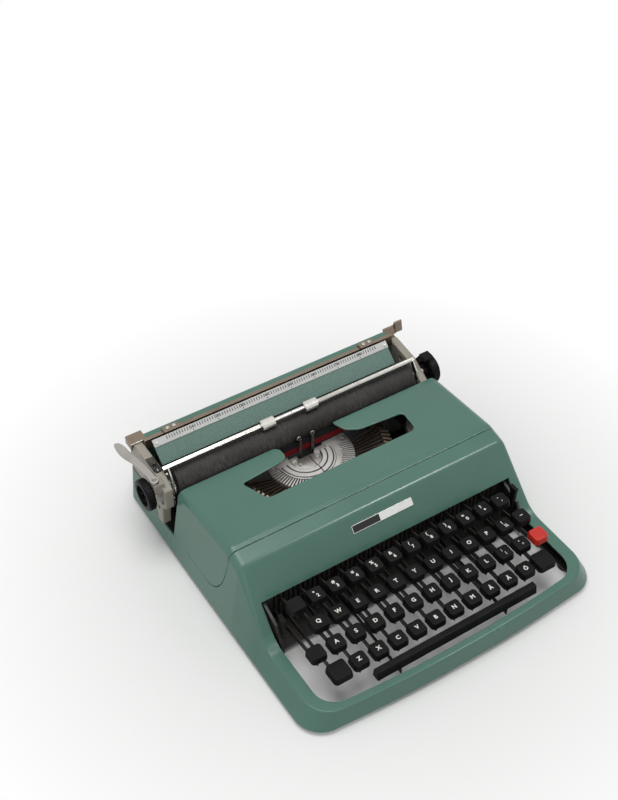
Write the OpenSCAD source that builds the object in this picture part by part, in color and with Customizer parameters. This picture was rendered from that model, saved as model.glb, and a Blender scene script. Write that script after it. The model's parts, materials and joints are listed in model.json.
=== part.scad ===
// Flat portable typewriter with a painted sheet-metal case, a basket-shift type action and a carriage.
// X runs to the typist's right, Y to the rear and Z up.
// The origin is on the ground, under the middle of the machine.

/* [Case] */
// Width across the bottom edge of the case
case_w = 299; // [294:1:306]
// Width across the upper edges of the case
case_top_w = 274; // [270:1:278]
// Width across the outer edges of the keyboard lip
lip_span = 280; // [276:1:286]
// Depth of the case from front to rear
case_d = 328; // [322:1:338]
// Height of the cover at its crown, just behind the seam
case_h = 82; // [81:0.5:86]
// Drop of the cover from its crown to its rear edge
cover_fall = 7; // [5:0.5:8]
// Height of the lip round the keyboard
lip_h = 22; // [18:0.5:23]
// Radius of the rounded upper edges
edge_r = 8; // [5:0.5:10]
// Radius of the front corners
corner_r = 25; // [18:1:32]
// How far the middle of the front stands ahead of its corners
front_bow = 5; // [2:0.5:8]
// Sheet thickness of the case and the cover
wall = 2; // [1.4:0.1:2.4]
// Gap along the seam between the cover and the case
seam_gap = 0.4; // [0.3:0.1:0.8]
// Height of the rear part of the side walls
rear_wall_h = 50; // [46:0.5:50]
// How far the rear wall leans outwards
rear_lean = 8; // [4:0.5:10]

/* [Keyboard opening] */
// Width of the opening
opening_w = 258; // [256:1:260]
// Width of the lip along the front
lip_w = 9.5; // [8:0.5:10]
// Radius of the front corners of the opening
opening_r = 20; // [14:1:24]

/* [Cover aperture] */
// Half width of the aperture over the type basket
aperture_half_w = 84; // [80:1:88]
// Half width of the aperture along its front edge
aperture_front_half_w = 70; // [66:1:74]
// Width of the gap between the two tongues
tongue_gap = 60; // [50:1:66]

/* [Keys] */
// Distance between neighbouring keys in a row
key_pitch = 19; // [18.8:0.1:19.2]
// Distance between rows, front to rear
row_depth = 18.8; // [18.4:0.1:19]
// Step in height between rows
row_step = 8.5; // [8:0.1:9]
// Height of the key tops in the rear row
row_1_h = 62; // [60:0.5:64]
// Width of a key top
cap_w = 15; // [13:0.1:15.4]
// Depth of a key top, front to rear
cap_d = 14.4; // [13:0.1:15]
// Height of a key top
cap_h = 6.5; // [5:0.5:7]
// Width of a shift key's top
shift_cap_w = 18; // [16:0.5:18.5]
// Length of the space bar
space_w = 164; // [140:1:180]
// Depth of the space bar, front to rear
space_d = 8; // [6:0.5:8]
// Thickness of a key lever
lever_t = 1.2; // [0.8:0.1:1.4]
// Height of a key lever
lever_h = 5; // [4:0.5:6]
// Radius of the shaft that the key levers turn on
key_shaft_r = 2.5; // [2:0.1:3]

/* [Type action] */
// Distance of the typebar pivots from the middle of the segment
pivot_circle_r = 33; // [32:0.5:34]
// Length of the resting typebars, from pivot to type
typebar_l = 42; // [40:0.5:43]
// Angle at which the resting typebars rise
typebar_rise = 22; // [18:1:24]
// Thickness of a typebar
typebar_t = 0.8; // [0.6:0.1:0.9]
// Number of typebars
typebar_count = 43; // [31:2:45]
// Distance that the segment drops for capitals
shift_drop = 6; // [5:0.5:7]

/* [Carriage] */
// Radius of the platen
platen_r = 16.5; // [15:0.5:17]
// Length of the platen
platen_l = 251; // [245:1:252]
// Height of the platen's axis
platen_h = 68; // [67:0.5:69.5]
// Distance from the platen's end to the face of its knob
knob_reach = 30; // [30:0.5:34]
// Radius of the platen knobs
knob_r = 15; // [13:0.5:15.5]
// Radius of the platen shaft
platen_shaft_r = 4; // [3:0.5:5]
// Radius of the paper bail's bar
bail_r = 2; // [1.5:0.1:2.5]
// Radius of the rollers on the paper bail
bail_roller_r = 5; // [4:0.5:5.5]
// Length of a paper bail roller
bail_roller_l = 14; // [10:0.5:18]
// Radius of the feed roller under the platen
feed_r = 5; // [4:0.5:5.5]
// Slope of the paper table
table_slope = 41; // [40:1:50]
// Width of the scale strip
scale_w = 7; // [6:0.5:8]

/* [Ribbon] */
// Radius of a ribbon spool
spool_r = 21; // [20:0.5:22]
// Width of the inked ribbon
ribbon_w = 13; // [12:0.5:14]

/* [Feet] */
// Height of the rubber feet
foot_h = 4; // [3:0.5:5]
// Radius of the rubber feet
foot_r = 7; // [5:0.5:8]

/* [Hidden] */

$fn = 48;
eps = 0.1;
// Radial clearance of a turning fit, and the gap between pieces that move past each other
run_fit = 0.05;
move_gap = 0.3;
far = 400;

// Places along the depth, counted from the front edge of the case
front_y = -case_d / 2;
rear_y = front_y + case_d;
panel_foot_y = front_y + 89;
panel_edge_y = front_y + 112;
ridge_y = front_y + 138;
seam_y = front_y + 148;
crown_y = front_y + 154;
cover_rear_y = front_y + 236;
key_shaft_y = front_y + 209;
comb_y = front_y + 116;
row_1_y = front_y + 89;
segment_y = front_y + 229.5;
platen_y = front_y + 254;
slot_rear_y = front_y + 267;
hump_y = front_y + 271;
rail_y = front_y + 276;
lip_rake = 3;

// Sizes of the case
cover_slope = cover_fall / (cover_rear_y - crown_y);
ridge_drop = 4;
fillet_r = 25;
ridge_rise = case_h - ridge_drop - edge_r - lip_h;
ridge_run = ridge_y - panel_foot_y;
panel_angle = atan2(ridge_rise, ridge_run) + asin(edge_r / norm([ridge_rise, ridge_run]));
slot_h = 22;
skirt_h = 24;
seam_sweep = 28;
seam_turn_h = 70;

function side_x(z) = case_w / 2 - (case_w - case_top_w) / 2 * (z - foot_h) / (case_h - edge_r - foot_h);
function cover_top(y) = case_h - cover_slope * (y - crown_y);
function bezier(a, b, c, d, t) =
    pow(1 - t, 3) * a + 3 * t * pow(1 - t, 2) * b + 3 * t * t * (1 - t) * c + pow(t, 3) * d;

// Lays a Y-Z outline out along X
module along_x(points, from, to)
    translate([from, 0, 0]) rotate([90, 0, 90]) linear_extrude(to - from) polygon(points);

// A round bar along X
module rod_x(r, from, to, y, z)
    translate([from, y, z]) rotate([0, 90, 0]) cylinder(r = r, h = to - from);

module rounded_square(w, d, r) {
    square([w - 2 * r, d], center = true);
    square([w, d - 2 * r], center = true);
    for (sx = [-1, 1], sy = [-1, 1]) translate([sx * (w / 2 - r), sy * (d / 2 - r)]) circle(r);
}

// A front edge from left to right, bowed between its rounded corners
function bowed_front(half, y, r) = concat(
    [for (a = [180:15:270]) [-half + r + r * cos(a), y + front_bow + r * (1 + sin(a))]],
    [for (k = [-0.75:0.25:0.75]) [k * (half - r), y + front_bow * k * k]],
    [for (a = [270:15:360]) [half - r + r * cos(a), y + front_bow + r * (1 + sin(a))]]);

// Plan of the keyboard tray: square at the back, rounded and bowed in front
function tray_outline(half_w, y) = concat(
    [[half_w, panel_foot_y + 8], [-half_w, panel_foot_y + 8]],
    bowed_front(half_w, y, corner_r));

module tray(inset, base) hull() {
    translate([0, 0, base]) linear_extrude(eps) polygon(tray_outline(case_w / 2 - inset, front_y + inset));
    translate([0, 0, lip_h - inset - eps]) linear_extrude(eps)
        polygon(tray_outline(lip_span / 2 - inset, front_y + lip_rake + inset));
}

// The high part of the case, from the foot of the front panel to past the cover's rear edge
module high_block(inset, base) hull() for (s = [-1, 1]) {
    for (p = [[ridge_y, case_h - ridge_drop], [crown_y, case_h], [platen_y, cover_top(platen_y)]])
        translate([s * (case_top_w / 2 - edge_r), p[0], p[1] - edge_r]) sphere(edge_r - inset, $fn = 24);
    translate([s * (lip_span / 2 - inset - eps), panel_foot_y + inset, lip_h - inset - eps])
        cube(2 * eps, center = true);
    for (y = [panel_foot_y + inset, platen_y])
        translate([s * (case_w / 2 - inset - eps), y, base + eps]) cube(2 * eps, center = true);
}

// The low part of the case behind the cover, under the carriage
module low_block(inset, base) hull() for (s = [-1, 1]) {
    for (y = [seam_y, rear_y - rear_lean - inset])
        translate([s * (case_w / 2 - inset - eps), y - eps, base + eps]) cube(2 * eps, center = true);
    for (y = [seam_y, rear_y - inset])
        translate([s * (side_x(rear_wall_h) - inset - eps), y - eps, rear_wall_h - eps])
            cube(2 * eps, center = true);
}

// Fillet between the foot of the front panel and the lip
module panel_fillet() {
    c = [panel_foot_y - fillet_r * tan(panel_angle / 2), lip_h + fillet_r];
    along = fillet_r * tan(panel_angle / 2);
    along_x(concat([[panel_foot_y + 2, lip_h - wall / 2], [c[0], lip_h - wall / 2]],
        [for (k = [0:6]) c + fillet_r * [sin(panel_angle * k / 6), -cos(panel_angle * k / 6)]],
        [[panel_foot_y + along * cos(panel_angle) + 2, lip_h + along * sin(panel_angle)]]),
        -lip_span / 2 + 1, lip_span / 2 - 1);
}

// Everything above the side walls where the carriage passes
module carriage_way() along_x([[cover_rear_y, far], [cover_rear_y, slot_h], [slot_rear_y, slot_h],
    [hump_y, rear_wall_h - eps], [far, rear_wall_h - eps], [far, far]], -far, far);

module keyboard_opening() {
    half = opening_w / 2;
    y = front_y + lip_w;
    translate([0, 0, -far / 2]) linear_extrude(far) polygon(concat(
        [[half, panel_edge_y], [-half, panel_edge_y]], bowed_front(half, y, opening_r)));
}

// The whole sheet-metal skin, before the cover is parted from it
module skin() difference() {
    union() {
        tray(0, foot_h);
        high_block(0, foot_h);
        low_block(0, foot_h);
        panel_fillet();
    }
    tray(wall, foot_h - 1);
    high_block(wall, foot_h - 1);
    low_block(wall, foot_h - 1);
    along_x([[seam_y + wall, slot_h], [rear_y - wall - rear_lean, slot_h],
        [rear_y - wall - eps, rear_wall_h + 1], [seam_y + wall, rear_wall_h + 1]],
        -side_x(rear_wall_h) + wall + eps, side_x(rear_wall_h) - wall - eps);
    carriage_way();
    keyboard_opening();
}

// Side view of what belongs to the cover, with the seam's curve down each side
module cover_region(gap) along_x(concat(
    [[cover_rear_y + 1, skirt_h + gap], [cover_rear_y + 1, far], [seam_y + gap, far]],
    [for (t = [0:0.125:1]) [gap + bezier(seam_y, seam_y + 1, seam_y + 8, seam_y + seam_sweep, t),
        gap + bezier(seam_turn_h, skirt_h + 22, skirt_h, skirt_h, t)]]), -far, far);

module aperture() {
    front = seam_y + 37;
    rear = front + 28;
    mid = print_x + 5;
    left = print_x - tongue_gap / 2;
    right = print_x + tongue_gap / 2;
    translate([0, 0, skirt_h]) linear_extrude(far) polygon([
        [mid - aperture_half_w, rear], [mid - aperture_front_half_w - 6, front + 4],
        [mid - aperture_front_half_w, front], [mid + aperture_front_half_w, front],
        [mid + aperture_half_w - 8, front + 1], [mid + aperture_half_w - 4.5, front + 4],
        [mid + aperture_half_w - 2.5, front + 9], [mid + aperture_half_w, rear - 3],
        [right + 15, rear + 1], [right + 6, rear + 7], [right, rear + 19], [right, far],
        [left - 6, far], [left - 5, rear + 19], [left, rear + 14], [left, rear + 9], [left - 5, rear + 5]]);
}

module body_shell() color([0.37, 0.52, 0.47]) difference() {
    skin();
    cover_region(0);
}

module ribbon_cover() color([0.37, 0.52, 0.47]) difference() {
    intersection() {
        skin();
        cover_region(seam_gap);
    }
    aperture();
}

// Bare plate on the front panel
plate_w = 62;
plate_l = 7.2;
plate_t = 0.6;
plate_reach = 54;
module name_plate() color("dimgray") translate([-0.5, panel_foot_y, lip_h]) rotate([panel_angle, 0, 0])
    translate([-plate_w / 2, plate_reach, 0.05]) cube([plate_w, plate_l, plate_t]);

// Floor pan, with arms under the lip that carry the front feet
pan_t = 1.5;
pan_top = foot_h + pan_t;
pan_half_w = case_w / 2 - wall - 2.3;
pan_front_y = front_y + 26;
pan_rear_y = rear_y - rear_lean - wall - 1;
pan_arm_x = opening_w / 2 + 2;
drum_x = -95;
drum_y = rear_y - 26;
wheel_x = 40;
wheel_y = drum_y;
bell_x = 95;
post_r = 3;
module bottom_pan() color([0.25, 0.25, 0.25]) {
    translate([0, 0, foot_h]) linear_extrude(pan_t) difference() {
        translate([-pan_half_w, pan_front_y]) square([2 * pan_half_w, pan_rear_y - pan_front_y]);
        translate([-pan_arm_x, pan_front_y - 1]) square([2 * pan_arm_x, comb_y - 24 - pan_front_y + 1]);
    }
    for (p = [[drum_x, drum_h], [wheel_x, wheel_h], [bell_x, bell_h]])
        translate([p[0], drum_y, pan_top - eps]) cylinder(r = post_r, h = p[1] - pan_top + eps);
}

module rubber_feet() color([0.1, 0.1, 0.1])
    for (s = [-1, 1], y = [pan_front_y + 10, pan_rear_y - 14])
        translate([s * (pan_half_w - foot_r), y, 0]) cylinder(r = foot_r, h = foot_h);

// Steel side plates, with the bar that carries the type basket
frame_t = 2.5;
frame_x = 124.5;
frame_top = 52;
basket_bar_y = front_y + 228.5;
basket_bar_d = 4.4;
basket_bar_z = 24;
basket_bar_h = 9.5;
basket_post_r = 2.5;
basket_drop = 6;
basket_post_x = 36;
basket_post_top = 53;
module chassis_frame() color([0.2, 0.19, 0.18]) {
    for (s = [-1, 1]) difference() {
        along_x([[front_y + 84, pan_top], [rail_y + 20, pan_top], [rail_y + 20, rail_z],
            [rail_y - 2, rail_z], [hump_y - 5, slot_h - 2], [cover_rear_y - 2, slot_h - 2],
            [cover_rear_y - 4, frame_top],
            [ridge_y + 8, frame_top], [comb_y - 2, 46], [row_1_y + 5, 38], [front_y + 84, 18]],
            s > 0 ? frame_x : -frame_x - frame_t, s > 0 ? frame_x + frame_t : -frame_x);
        rod_x(key_shaft_r, -far, far, key_shaft_y, key_shaft_z);
    }
    translate([-frame_x, basket_bar_y, basket_bar_z]) cube([2 * frame_x, basket_bar_d, basket_bar_h]);
    for (s = [-1, 1]) translate([print_x + s * basket_post_x, basket_bar_y + basket_bar_d / 2,
        basket_bar_z + basket_bar_h - eps])
        cylinder(r = basket_post_r, h = basket_post_top - basket_bar_z - basket_bar_h);
}

// Places of the keys, row by row from the rear
row_count = [11, 11, 11, 10];
row_shift = [0, -0.5, -0.25, 0.25];
key_1_x = -91.2;
key_shaft_z = 16;
key_hub_r = 4.5;
stem_l = 5;
function key_x(row, i) = key_1_x + key_pitch * (row_shift[row] + i);
function row_y(row) = row_1_y - row_depth * row;
function row_z(row) = row_1_h - row_step * row;
striking_row = 2;
striking_i = 5;
space_arm_x = [for (k = [7, 30]) key_1_x + key_pitch / 4 * (k + 0.5)];
space_y = front_y + lip_w + 9;
space_z = row_z(3) - 15;
space_h = 9;
lever_places = concat(
    [for (row = [0:3]) for (i = [0:row_count[row] - 1]) key_x(row, i)], space_arm_x,
    [key_x(0, -1), key_x(1, 11), key_x(2, -1), key_x(2, 11), key_x(3, -1), key_x(3, 10)]);

// Guide comb for the key levers, under the edge of the front panel
comb_t = 3;
comb_h = row_1_h - 18.5;
comb_gap = 0.25;
module key_comb() color([0.16, 0.15, 0.14]) difference() {
    translate([-frame_x, comb_y, pan_top]) cube([2 * frame_x, comb_t, comb_h]);
    for (x = lever_places) translate([x - lever_t / 2 - comb_gap, comb_y - 1, pan_top + 2])
        cube([lever_t + 2 * comb_gap, comb_t + 2, comb_h - 3.5]);
}

module key_pivot_shaft() color("silver")
    rod_x(key_shaft_r, -frame_x - frame_t, frame_x + frame_t, key_shaft_y, key_shaft_z);

// A lever from the shaft to a stem under a key top
module key_lever(x, y, top) {
    bar_z = top - stem_l - lever_h / 2;
    translate([x - lever_t / 2, 0, 0]) difference() {
        union() {
            along_x([[key_shaft_y, key_shaft_z - lever_h / 2], [key_shaft_y, key_shaft_z + lever_h / 2],
                [y + 2.5, bar_z + lever_h / 2], [y + 2.5, top], [y - 2.5, top],
                [y - 2.5, bar_z - lever_h / 2]], 0, lever_t);
            rod_x(key_hub_r, 0, lever_t, key_shaft_y, key_shaft_z);
        }
        rod_x(key_shaft_r + run_fit, -1, lever_t + 1, key_shaft_y, key_shaft_z);
    }
}

// A key top: a skirt with a smaller block on it
cap_r = 4;
cap_step = 0.9;
skirt_part = 2.5;
module key_cap(x, y, top, w, d) translate([x, y, top - cap_h]) {
    linear_extrude(skirt_part) rounded_square(w, d, cap_r);
    linear_extrude(cap_h) rounded_square(w - 2 * cap_step, d - 2 * cap_step, cap_r - cap_step);
}

module levers_of_row(row) color([0.15, 0.14, 0.13]) for (i = [0:row_count[row] - 1])
    if (row != striking_row || i != striking_i) key_lever(key_x(row, i), row_y(row), row_z(row) - cap_h);
module tops_of_row(row) color([0.09, 0.09, 0.1]) for (i = [0:row_count[row] - 1])
    if (row != striking_row || i != striking_i) key_cap(key_x(row, i), row_y(row), row_z(row), cap_w, cap_d);

module key_levers_row_1() levers_of_row(0);
module key_levers_row_2() levers_of_row(1);
module key_levers_row_3() levers_of_row(2);
module key_levers_row_4() levers_of_row(3);
module keytops_row_1() tops_of_row(0);
module keytops_row_2() tops_of_row(1);
module keytops_row_3() tops_of_row(2);
module keytops_row_4() tops_of_row(3);

// A single key on its own lever
module lone_key(row, i, w, d) {
    key_lever(key_x(row, i), row_y(row), row_z(row) - cap_h);
    key_cap(key_x(row, i), row_y(row), row_z(row), w, d);
}

module striking_key() color([0.09, 0.09, 0.1]) lone_key(striking_row, striking_i, cap_w, cap_d);
module shift_lock_key() color([0.09, 0.09, 0.1]) lone_key(2, -1, cap_w, cap_d);
module backspace_key() color([0.09, 0.09, 0.1]) lone_key(1, 11, cap_w, cap_d);
module margin_release_key() color([0.09, 0.09, 0.1]) lone_key(0, -1, cap_w, cap_d);
module shift_keys() color([0.09, 0.09, 0.1]) {
    lone_key(3, -1, shift_cap_w, shift_cap_w);
    lone_key(3, 10, shift_cap_w, shift_cap_w);
}
module tab_key() color([0.8, 0.1, 0.09]) key_cap(key_x(2, 11), row_y(2), row_z(2), cap_w, cap_d);
module tab_lever() color([0.15, 0.14, 0.13]) key_lever(key_x(2, 11), row_y(2), row_z(2) - cap_h);

module space_bar() color([0.09, 0.09, 0.1]) {
    for (x = space_arm_x) key_lever(x, space_y, space_z);
    along_x([[space_y - space_d / 2, space_z], [space_y + space_d / 2, space_z],
        [space_y + space_d / 2 - 1, space_z + space_h], [space_y - space_d / 2 + 1.5, space_z + space_h]],
        2 - space_w / 2, 2 + space_w / 2);
}

// Small thumb levers on the side plates
thumb_pivot_r = 2;
module thumb_lever(s, y, z, top) {
    along_x([[y - 3, z - 3], [y + 3, z - 3], [y + 2, top - 8], [y + 4, top], [y - 5, top], [y - 4, top - 7]],
        s > 0 ? frame_x - 4 : -frame_x + move_gap, s > 0 ? frame_x - move_gap : -frame_x + 4);
}
module tab_set_lever() color([0.1, 0.1, 0.1]) {
    thumb_lever(-1, row_1_y + 2, row_1_h - 34, row_1_h - 12);
    rod_x(thumb_pivot_r, -frame_x, -frame_x + 4.5, row_1_y + 2, row_1_h - 34);
}
module ribbon_selector() color([0.1, 0.1, 0.1]) {
    thumb_lever(1, row_1_y + 9, row_1_h - 30, row_1_h - 6);
    rod_x(thumb_pivot_r, frame_x - 4.5, frame_x, row_1_y + 9, row_1_h - 30);
}

// Type basket: a slotted half ring whose bars swing to the printing point
print_x = -8;
ribbon_t = 0.4;
ribbon_y = platen_y - platen_r - 2.3;
ribbon_z = platen_h - ribbon_w + 2.5;
pivot_z = 45;
hub_r = 20;
segment_out_r = 42;
slot_in_r = 30;
segment_low = 34;
segment_high = 54;
hub_drop = 3;
slot_floor = 37;
fan_half = 84;
slot_gap = 0.15;
fan_step = 2 * fan_half / (typebar_count - 1);
middle_bar = (typebar_count - 1) / 2;
bar_h = 4.5;
slug_w = 2.6;
slug_d = 3;
slug_h = 9;
striker_y = front_y + 209;
striker_z = 41;
striker_eye_r = 2.8;
strike_y = ribbon_y - move_gap - slug_d / 2;
strike_angle = atan2(platen_h - striker_z, strike_y - striker_y);
striker_l = norm([platen_h - striker_z, strike_y - striker_y]);
function fan_angle(i) = -90 - fan_half + fan_step * i;

// The front half of a ring, and a little more behind its middle
module half_ring(out_r, in_r, h, rear) difference() {
    cylinder(r = out_r, h = h);
    translate([0, 0, -1]) cylinder(r = in_r, h = h + 2);
    translate([-out_r - 1, rear, -1]) cube([2 * out_r + 2, out_r, h + 2]);
}

lug_x = 28;
lug_w = 28;
lug_h = 6;
segment_rear = 7.5;
fork_room = 1.2;
bar_room = 1;
module segment() color([0.7, 0.7, 0.68]) translate([print_x, segment_y, 0]) difference() {
    union() {
        translate([0, 0, segment_low])
            half_ring(segment_out_r, hub_r - eps, segment_high - segment_low, segment_rear);
        translate([0, 0, segment_low])
            half_ring(hub_r, 0.5, segment_high - segment_low - hub_drop, segment_rear);
        for (s = [-1, 1]) translate([s * lug_x - lug_w / 2, -4, segment_low + lug_h])
            cube([lug_w, basket_bar_y - segment_y + basket_bar_d + 5.4, lug_h]);
    }
    for (i = [0:typebar_count - 1]) rotate(fan_angle(i))
        translate([slot_in_r, -typebar_t / 2 - slot_gap, slot_floor])
            cube([segment_out_r, typebar_t + 2 * slot_gap, segment_high]);
    translate([-typebar_t / 2 - slot_gap, -segment_out_r - 1, slot_floor])
        cube([typebar_t + 2 * slot_gap, segment_out_r + 6, segment_high]);
    for (s = [-1, 1]) translate([s * basket_post_x, basket_bar_y - segment_y + basket_bar_d / 2, 0])
        cylinder(r = basket_post_r + run_fit, h = far);
    translate([-far / 2, basket_bar_y - segment_y - bar_room, 0])
        cube([far, far, basket_bar_z + basket_bar_h + basket_drop + bar_room]);
    translate([-fork_half - fork_room, basket_bar_y - segment_y + basket_bar_d - bar_room, 0])
        cube([2 * (fork_half + fork_room), far, far]);
}

// A typebar lying along X from its pivot at the origin, with its type at the end
module typebar(l) {
    rotate([90, 0, 0]) linear_extrude(typebar_t, center = true)
        polygon([[-1.5, -2], [-1.5, 2], [l, bar_h / 2], [l, -bar_h / 2 + 1]]);
    translate([l, 0, 0]) rotate([0, -strike_angle, 0]) cube([slug_d, slug_w, slug_h], center = true);
}

module typebars() color([0.62, 0.6, 0.58]) for (i = [0:typebar_count - 1]) if (i != middle_bar)
    translate([print_x, segment_y, pivot_z]) rotate(fan_angle(i)) translate([pivot_circle_r, 0, 0])
        rotate([0, -typebar_rise, 0]) typebar(typebar_l);

module striking_typebar() color([0.8, 0.8, 0.78])
    translate([print_x, striker_y, striker_z]) rotate(-90) rotate([0, -typebar_rise, 0]) {
        typebar(striker_l);
        rotate([90, 0, 0]) cylinder(r = striker_eye_r, h = typebar_t, center = true);
    }

// Rest under the heads of the typebars, on two arms from the segment
rest_in_r = pivot_circle_r + 30;
rest_out_r = rest_in_r + 5;
rest_high = pivot_z + 30 * tan(typebar_rise) - bar_h / 2 - 1;
rest_t = 5;
module type_rest() color([0.25, 0.22, 0.2]) translate([print_x, segment_y, 0]) {
    translate([0, 0, rest_high - rest_t]) half_ring(rest_out_r, rest_in_r, rest_t, 3);
    for (a = [-140, -40]) rotate(a) rest_arm();
}
module rest_arm() rotate([90, 0, 0]) linear_extrude(rest_t, center = true)
    polygon([[segment_out_r - 8, segment_low - 3], [segment_out_r + 3, segment_low - 3],
        [rest_out_r - 1, rest_high - rest_t - 4], [rest_out_r - 1, rest_high - rest_t + eps],
        [rest_in_r + 1, rest_high - rest_t + eps], [segment_out_r + 2, segment_low],
        [segment_out_r - 8, segment_low]]);

// Ribbon carrier that lifts the ribbon at the printing point
fork_half = 8;
fork_w = 3;
module ribbon_vibrator() color([0.13, 0.13, 0.13]) translate([print_x, 0, 0]) {
    plate_y = basket_bar_y + basket_bar_d + move_gap;
    plate_end = ribbon_y - move_gap;
    translate([-fork_half, plate_y, basket_bar_z]) cube([2 * fork_half, plate_end - plate_y, 16]);
    for (s = [-1, 1]) {
        translate([s * (fork_half - fork_w / 2) - fork_w / 2, plate_y, basket_bar_z + 15])
            cube([fork_w, plate_end - plate_y, platen_h + 6 - basket_bar_z - 15]);
        translate([s * (fork_half - fork_w / 2) - fork_w / 2, plate_y, ribbon_z + ribbon_w + 0.5])
            cube([fork_w, platen_y - platen_r - 0.5 - plate_y, platen_h + 6 - ribbon_z - ribbon_w - 0.5]);
    }
}

// Cups and posts for the spools, and guide posts that turn the ribbon behind the basket
spool_x = 106;
spool_y = front_y + 202;
cup_t = 1.5;
deck_w = 21;
cup_rim_r = spool_r + 1.5;
guide_x = 86;
guide_y = ribbon_y - 3;
guide_r = 2.5;
spool_post_r = 3;
spool_low = frame_top + cup_t + move_gap;
spool_high = ribbon_z + ribbon_w + 1.5;
module ribbon_deck() color([0.2, 0.2, 0.2]) for (s = [-1, 1]) {
    translate([s * spool_x, spool_y, frame_top]) cylinder(r = cup_rim_r, h = cup_t);
    translate([s * spool_x, spool_y, frame_top + eps])
        cylinder(r = spool_post_r, h = spool_high - frame_top + 1);
    translate([s * guide_x, guide_y, frame_top]) cylinder(r = guide_r, h = spool_high - frame_top);
    translate([s * (guide_x + spool_x) / 2 - deck_w / 2, spool_y, frame_top])
        cube([deck_w, guide_y - spool_y, cup_t]);
}

module ribbon_spool(s) color([0.6, 0.58, 0.55]) translate([s * spool_x, spool_y, 0]) difference() {
    union() {
        translate([0, 0, spool_low]) cylinder(r = spool_r, h = 1);
        translate([0, 0, spool_low]) cylinder(r = wound_r, h = spool_high - spool_low);
        translate([0, 0, spool_high - 1]) cylinder(r = spool_r, h = 1);
    }
    translate([0, 0, spool_low - 1]) cylinder(r = spool_post_r + run_fit, h = far);
}
wound_r = 17;
module ribbon_spool_left() ribbon_spool(-1);
module ribbon_spool_right() ribbon_spool(1);

// The ribbon's free run from spool to spool
module ribbon() color([0.55, 0.08, 0.1]) translate([0, 0, ribbon_z]) linear_extrude(ribbon_w) {
    outer = guide_y + guide_r + move_gap;
    for (s = [1, -1]) polygon([
        [s * (spool_x + 4), spool_y + wound_r + move_gap + 0.6],
        [s * (spool_x + 4), spool_y + wound_r + move_gap + 1],
        [s * (guide_x + 1), outer + ribbon_t], [s * (guide_x - 2), outer + ribbon_t],
        [s * (fork_half + 18), ribbon_y + ribbon_t], [-s, ribbon_y + ribbon_t], [-s, ribbon_y],
        [s * (fork_half + 18), ribbon_y], [s * (guide_x - 2), outer], [s * (guide_x + 1), outer]]);
}

// Rail that the carriage runs on
rail_z = 44;
rail_d = 12;
bed_gap = 0.3;
module carriage_rail() color("silver")
    translate([-frame_x - frame_t, rail_y, rail_z])
        cube([2 * (frame_x + frame_t), rail_d, rear_wall_h - rail_z]);

// Spring drum, escapement wheel and bell stand on posts behind the rail
drum_h = 36;
wheel_h = 42;
bell_h = 34;
drum_r = 14;
wheel_r = 12;
wheel_teeth = 24;
bell_r = 17;
module mainspring_drum() color("silver") translate([drum_x, drum_y, pan_top + 8]) difference() {
    cylinder(r = drum_r, h = 14);
    translate([0, 0, 5]) difference() {
        cylinder(r = drum_r + 1, h = 4);
        translate([0, 0, -1]) cylinder(r = drum_r - 1.5, h = 6);
    }
    translate([0, 0, -1]) cylinder(r = post_r + run_fit, h = far);
}
module escapement_wheel() color([0.7, 0.6, 0.4]) translate([wheel_x, wheel_y, pan_top + 20]) difference() {
    linear_extrude(2) polygon([for (i = [0:2 * wheel_teeth - 1])
        (i % 2 == 0 ? wheel_r : wheel_r - 2) * [cos(180 * i / wheel_teeth), sin(180 * i / wheel_teeth)]]);
    translate([0, 0, -1]) cylinder(r = post_r + run_fit, h = far);
}
module bell() color("silver") translate([bell_x, drum_y, bell_h - 14]) rotate_extrude() polygon(concat(
    [for (a = [0:15:90]) bell_r * [cos(a), 0] + [0, 14 * sin(a)]], [[post_r, 14], [post_r, 12.5]],
    [for (a = [75:-15:0]) (bell_r - 1.5) * [cos(a), 0] + [0, 12.5 * sin(a)]]));

// Carriage
carriage_x = print_x;
platen_left = carriage_x - platen_l / 2;
platen_right = carriage_x + platen_l / 2;
end_gap = 7;
end_left_t = 8.5;
end_right_t = 8;
left_in = platen_left - end_gap;
left_out = left_in - end_left_t;
right_in = platen_right + end_gap;
right_out = right_in + end_right_t;
bed_low = rear_wall_h + bed_gap;
bed_high = bed_low + 2.7;
bed_rear_y = platen_y + 50;
bed_front_y = platen_y + platen_r + 2;
end_front_y = cover_rear_y + 2.5;
tongue_low = slot_h + 5;
bail_pivot_y = platen_y - 9.5;
bail_pivot_z = platen_h - 8;
bail_pin_r = 2;
bail_reach = platen_r + bail_roller_r + move_gap;
bail_angle = 92;
bail_y = platen_y + bail_reach * cos(bail_angle);
bail_z = platen_h + bail_reach * sin(bail_angle);
feed_z = platen_h - platen_r - feed_r - move_gap;
feed_shaft_r = 2;
end_top = platen_h + 20;
right_top = platen_h + 17.5;

// Side view of a carriage end: a tongue in front, a long arm to the rear
function end_outline(rear, top, brow, front) = [[platen_y - 5, tongue_low], [platen_y + 5, tongue_low],
    [platen_y + 7, bed_high], [bed_rear_y, bed_high], [bed_rear_y + 1, bed_high + 8],
    [bed_rear_y - 1, rear], [bed_rear_y - 12, top], brow,
    [end_front_y, front], [end_front_y, platen_h - 12], [platen_y - 7, platen_h - 18]];

module end_bores() {
    rod_x(platen_shaft_r + run_fit, -far, far, platen_y, platen_h);
    rod_x(feed_shaft_r + run_fit, -far, far, platen_y, feed_z);
    rod_x(bail_pin_r + run_fit, -far, far, bail_pivot_y, bail_pivot_z);
}

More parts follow.
